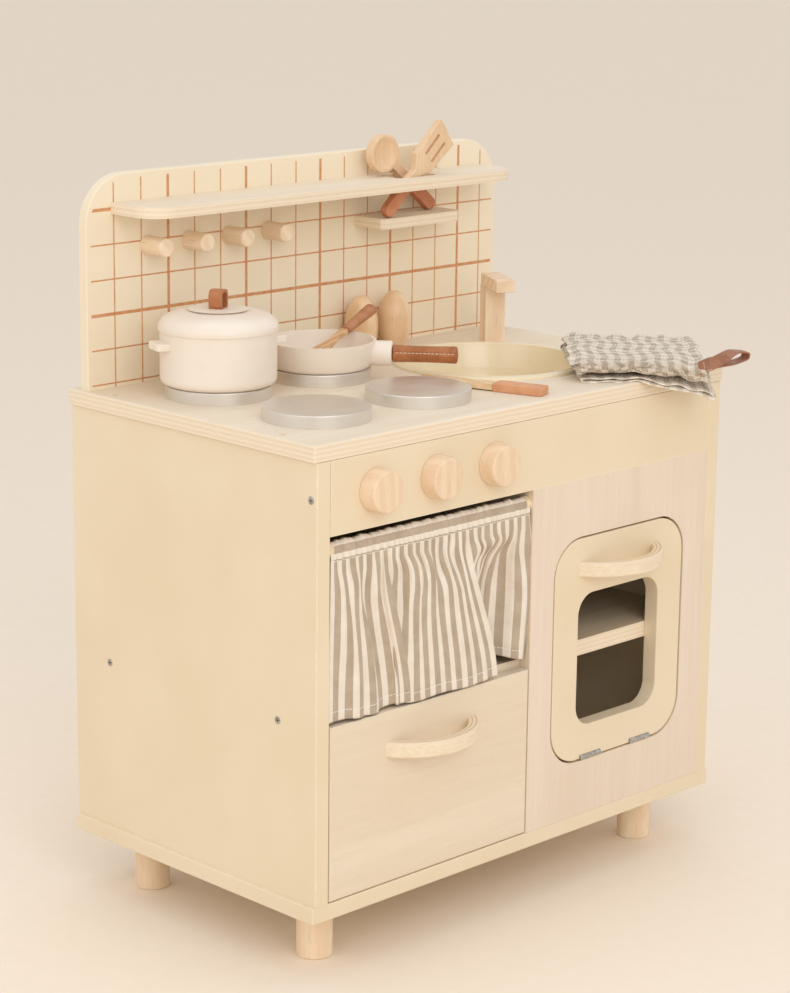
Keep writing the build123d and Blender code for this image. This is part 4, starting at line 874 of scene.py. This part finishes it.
def pan_wrap():
    """The grip's leather sleeve: a round profile along the grip, drawn in slightly at both ends
    with a rolled lip, and with a shallow groove where its two edges meet in the seam."""
    start, way, length = grip_line()
    way, side, up = frame_along(way)
    t = np.linspace(0, 1, 90)[:, None]
    angle = np.linspace(0, 2 * pi, 96, endpoint=False)[None, :]
    body = 7.9 * mm - 0.5 * mm * np.sin(pi * t)
    lip = 0.25 * mm * (np.exp(-(((t - 0.02) / 0.02) ** 2)) + np.exp(-(((t - 0.98) / 0.02) ** 2)))
    cap = np.sqrt(np.clip(1 - ((t - 0.93) / 0.07).clip(0, 1) ** 4, 0, 1))
    start_cap = np.sqrt(np.clip(1 - ((0.03 - t) / 0.03).clip(0, 1) ** 4, 0, 1))
    off = (angle - seam_angle + pi) % (2 * pi) - pi
    seam = 0.65 * mm * np.exp(-((off / 0.10) ** 2))
    bulge = 0.25 * mm * np.exp(-(((np.abs(off) - 0.26) / 0.12) ** 2))
    dimple = 0.12 * mm * np.sin(2 * pi * t * 15) * np.exp(-((off / 0.35) ** 2))
    radius = (body + lip - seam + bulge + dimple) * cap * start_cap
    ring = side[None, None] * np.cos(angle)[..., None] + up[None, None] * np.sin(angle)[..., None]
    points = start + way[None, None] * (t * length)[..., None] + ring * radius[..., None]
    return surface("pan_sleeve", points, close_columns=True)


def bead_row(name, starts, ways, outs, length, radius):
    """A row of short stitches as one mesh: each is a long bead, a half-circle of radius along its
    way, bowed a little off the leather."""
    t = np.linspace(0, pi, 9)[:, None]
    angle = np.linspace(0, 2 * pi, 8, endpoint=False)[None, :]
    bead_way = -np.cos(t) * length / 2 + 0 * angle
    fat = radius * np.sqrt(np.sin(t).clip(0.02, 1))
    a, b = fat * np.cos(angle), fat * np.sin(angle) + 0.3 * radius * np.sin(t)
    across = np.cross(ways, outs)
    points = (
        starts[:, None, None]
        + ways[:, None, None] * bead_way[None, ..., None]
        + across[:, None, None] * a[None, ..., None]
        + outs[:, None, None] * b[None, ..., None]
    )
    count, rows, columns = points.shape[:3]
    index = np.arange(rows * columns).reshape(rows, columns)
    index = np.concatenate([index, index[:, :1]], axis=1)
    quads = np.stack([index[:-1, :-1], index[1:, :-1], index[1:, 1:], index[:-1, 1:]], -1).reshape(-1, 4)
    quads = (quads[None] + np.arange(count)[:, None, None] * rows * columns).reshape(-1, 4)
    return quad_piece(name, points, quads)


def thread(name, light=(240, 228, 208), dark=(214, 196, 170)):
    """Waxed thread: two plies twisted, seen as slanting bands whose darker half, in the groove between the
    plies, is painted shade.
    """
    f = Finish(name, roughness=0.6, specular=0.3)
    x, y, z = f.split(f.place)
    slant = f.math("SINE", f.math("MULTIPLY", f.math("ADD", f.math("ADD", x, y), z), 9000.0))
    # Painted shade: the low groove of each twist takes the dark tone, the ridge the light one.
    colour = f.mix(f.span(slant, -1, 1), tone(*dark), tone(*light))
    return f.finish(colour, slant, 0.0001, 0.4)


sleeve = pan_wrap()
sleeve.data.materials.append(leather("sleeve_leather", (192, 122, 72), (164, 96, 52), 0.7))
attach(sleeve, "pan")
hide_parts("pan_grip")

start, way, length = grip_line()
way, side, up = frame_along(way)
outward = side * cos(seam_angle) + up * sin(seam_angle)
count = 15
steps = (np.arange(count) + 0.5) / count * (length - 6 * mm) + 3 * mm
starts = start + way * steps[:, None] + outward * 7.05 * mm
ways, outs = np.repeat(way[None], count, 0), np.repeat(outward[None], count, 0)
stitches = bead_row("sleeve_stitches", starts, ways, outs, 2.9 * mm, 0.42 * mm)
stitches.data.materials.append(thread("sleeve_thread"))
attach(stitches, "pan")

tab_seam = tab_stitches()
tab_seam.data.materials.append(thread("tab_thread"))
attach(tab_seam, "cloth")


# ------------------------------------------------------------------------ studio
def studio_floor():
    """A wide, plain pale floor."""
    size = 14.0
    corners = [(-size, -size, 0), (size, -size, 0), (size, size, 0), (-size, size, 0)]
    mesh = bpy.data.meshes.new("studio_floor")
    mesh.from_pydata(corners, [], [(0, 1, 2, 3)])
    floor = bpy.data.objects.new("studio_floor", mesh)
    bpy.context.scene.collection.objects.link(floor)
    f = Finish("studio_paper", roughness=0.85, specular=0.1)
    mottle = f.noise(f.place, 60.0, 4.0)
    colour = f.mix(mottle, tone(245, 231, 214), tone(249, 236, 220))
    mesh.materials.append(f.finish(colour, mottle, 0.0001, 0.1))


def studio_camera():
    """A long lens at the kitchen's front left, a little above the worktop."""
    stand = (-1.7205, -1.6854, 0.9430)
    yaw, pitch, roll = radians(44.885), radians(13.646), radians(-0.664)
    right = np.array([cos(yaw), -sin(yaw), 0.0])
    ahead = np.array([sin(yaw) * cos(pitch), cos(yaw) * cos(pitch), -sin(pitch)])
    down = np.cross(ahead, right)
    turned_right = cos(roll) * right + sin(roll) * down
    turned_down = -sin(roll) * right + cos(roll) * down
    data = bpy.data.cameras.new("studio_camera")
    data.sensor_width = 36.0
    data.lens = 97.6
    camera = bpy.data.objects.new("studio_camera", data)
    turn = Matrix(np.column_stack([turned_right, -turned_down, -ahead]).tolist())
    camera.matrix_world = Matrix.Translation(stand) @ turn.to_4x4()
    bpy.context.scene.collection.objects.link(camera)
    bpy.context.scene.camera = camera


def soft_light(name, place, aim, size, power, colour=(1.0, 0.995, 0.985)):
    """A square soft box, turned towards a point."""
    data = bpy.data.lights.new(name, "AREA")
    data.shape = "SQUARE"
    data.size = size
    data.energy = power
    data.color = colour
    lamp = bpy.data.objects.new(name, data)
    lamp.location = place
    lamp.rotation_euler = (Vector(aim) - Vector(place)).to_track_quat("-Z", "Y").to_euler()
    bpy.context.scene.collection.objects.link(lamp)


bpy.context.scene.view_settings.view_transform = "Standard"
studio_floor()
studio_camera()
soft_light("key_box", (-1.3, -2.6, 1.9), (0, 0, 0.35), 1.8, 23)
soft_light("left_box", (-2.6, -0.4, 1.5), (0, 0, 0.35), 1.8, 8)
soft_light("top_box", (0.2, 0.1, 2.6), (0, 0, 0.4), 1.6, 5)
world = bpy.data.worlds.new("studio_air")
world.use_nodes = True
world.node_tree.nodes["Background"].inputs["Color"].default_value = tone(252, 251, 250)
world.node_tree.nodes["Background"].inputs["Strength"].default_value = 0.83
bpy.context.scene.world = world
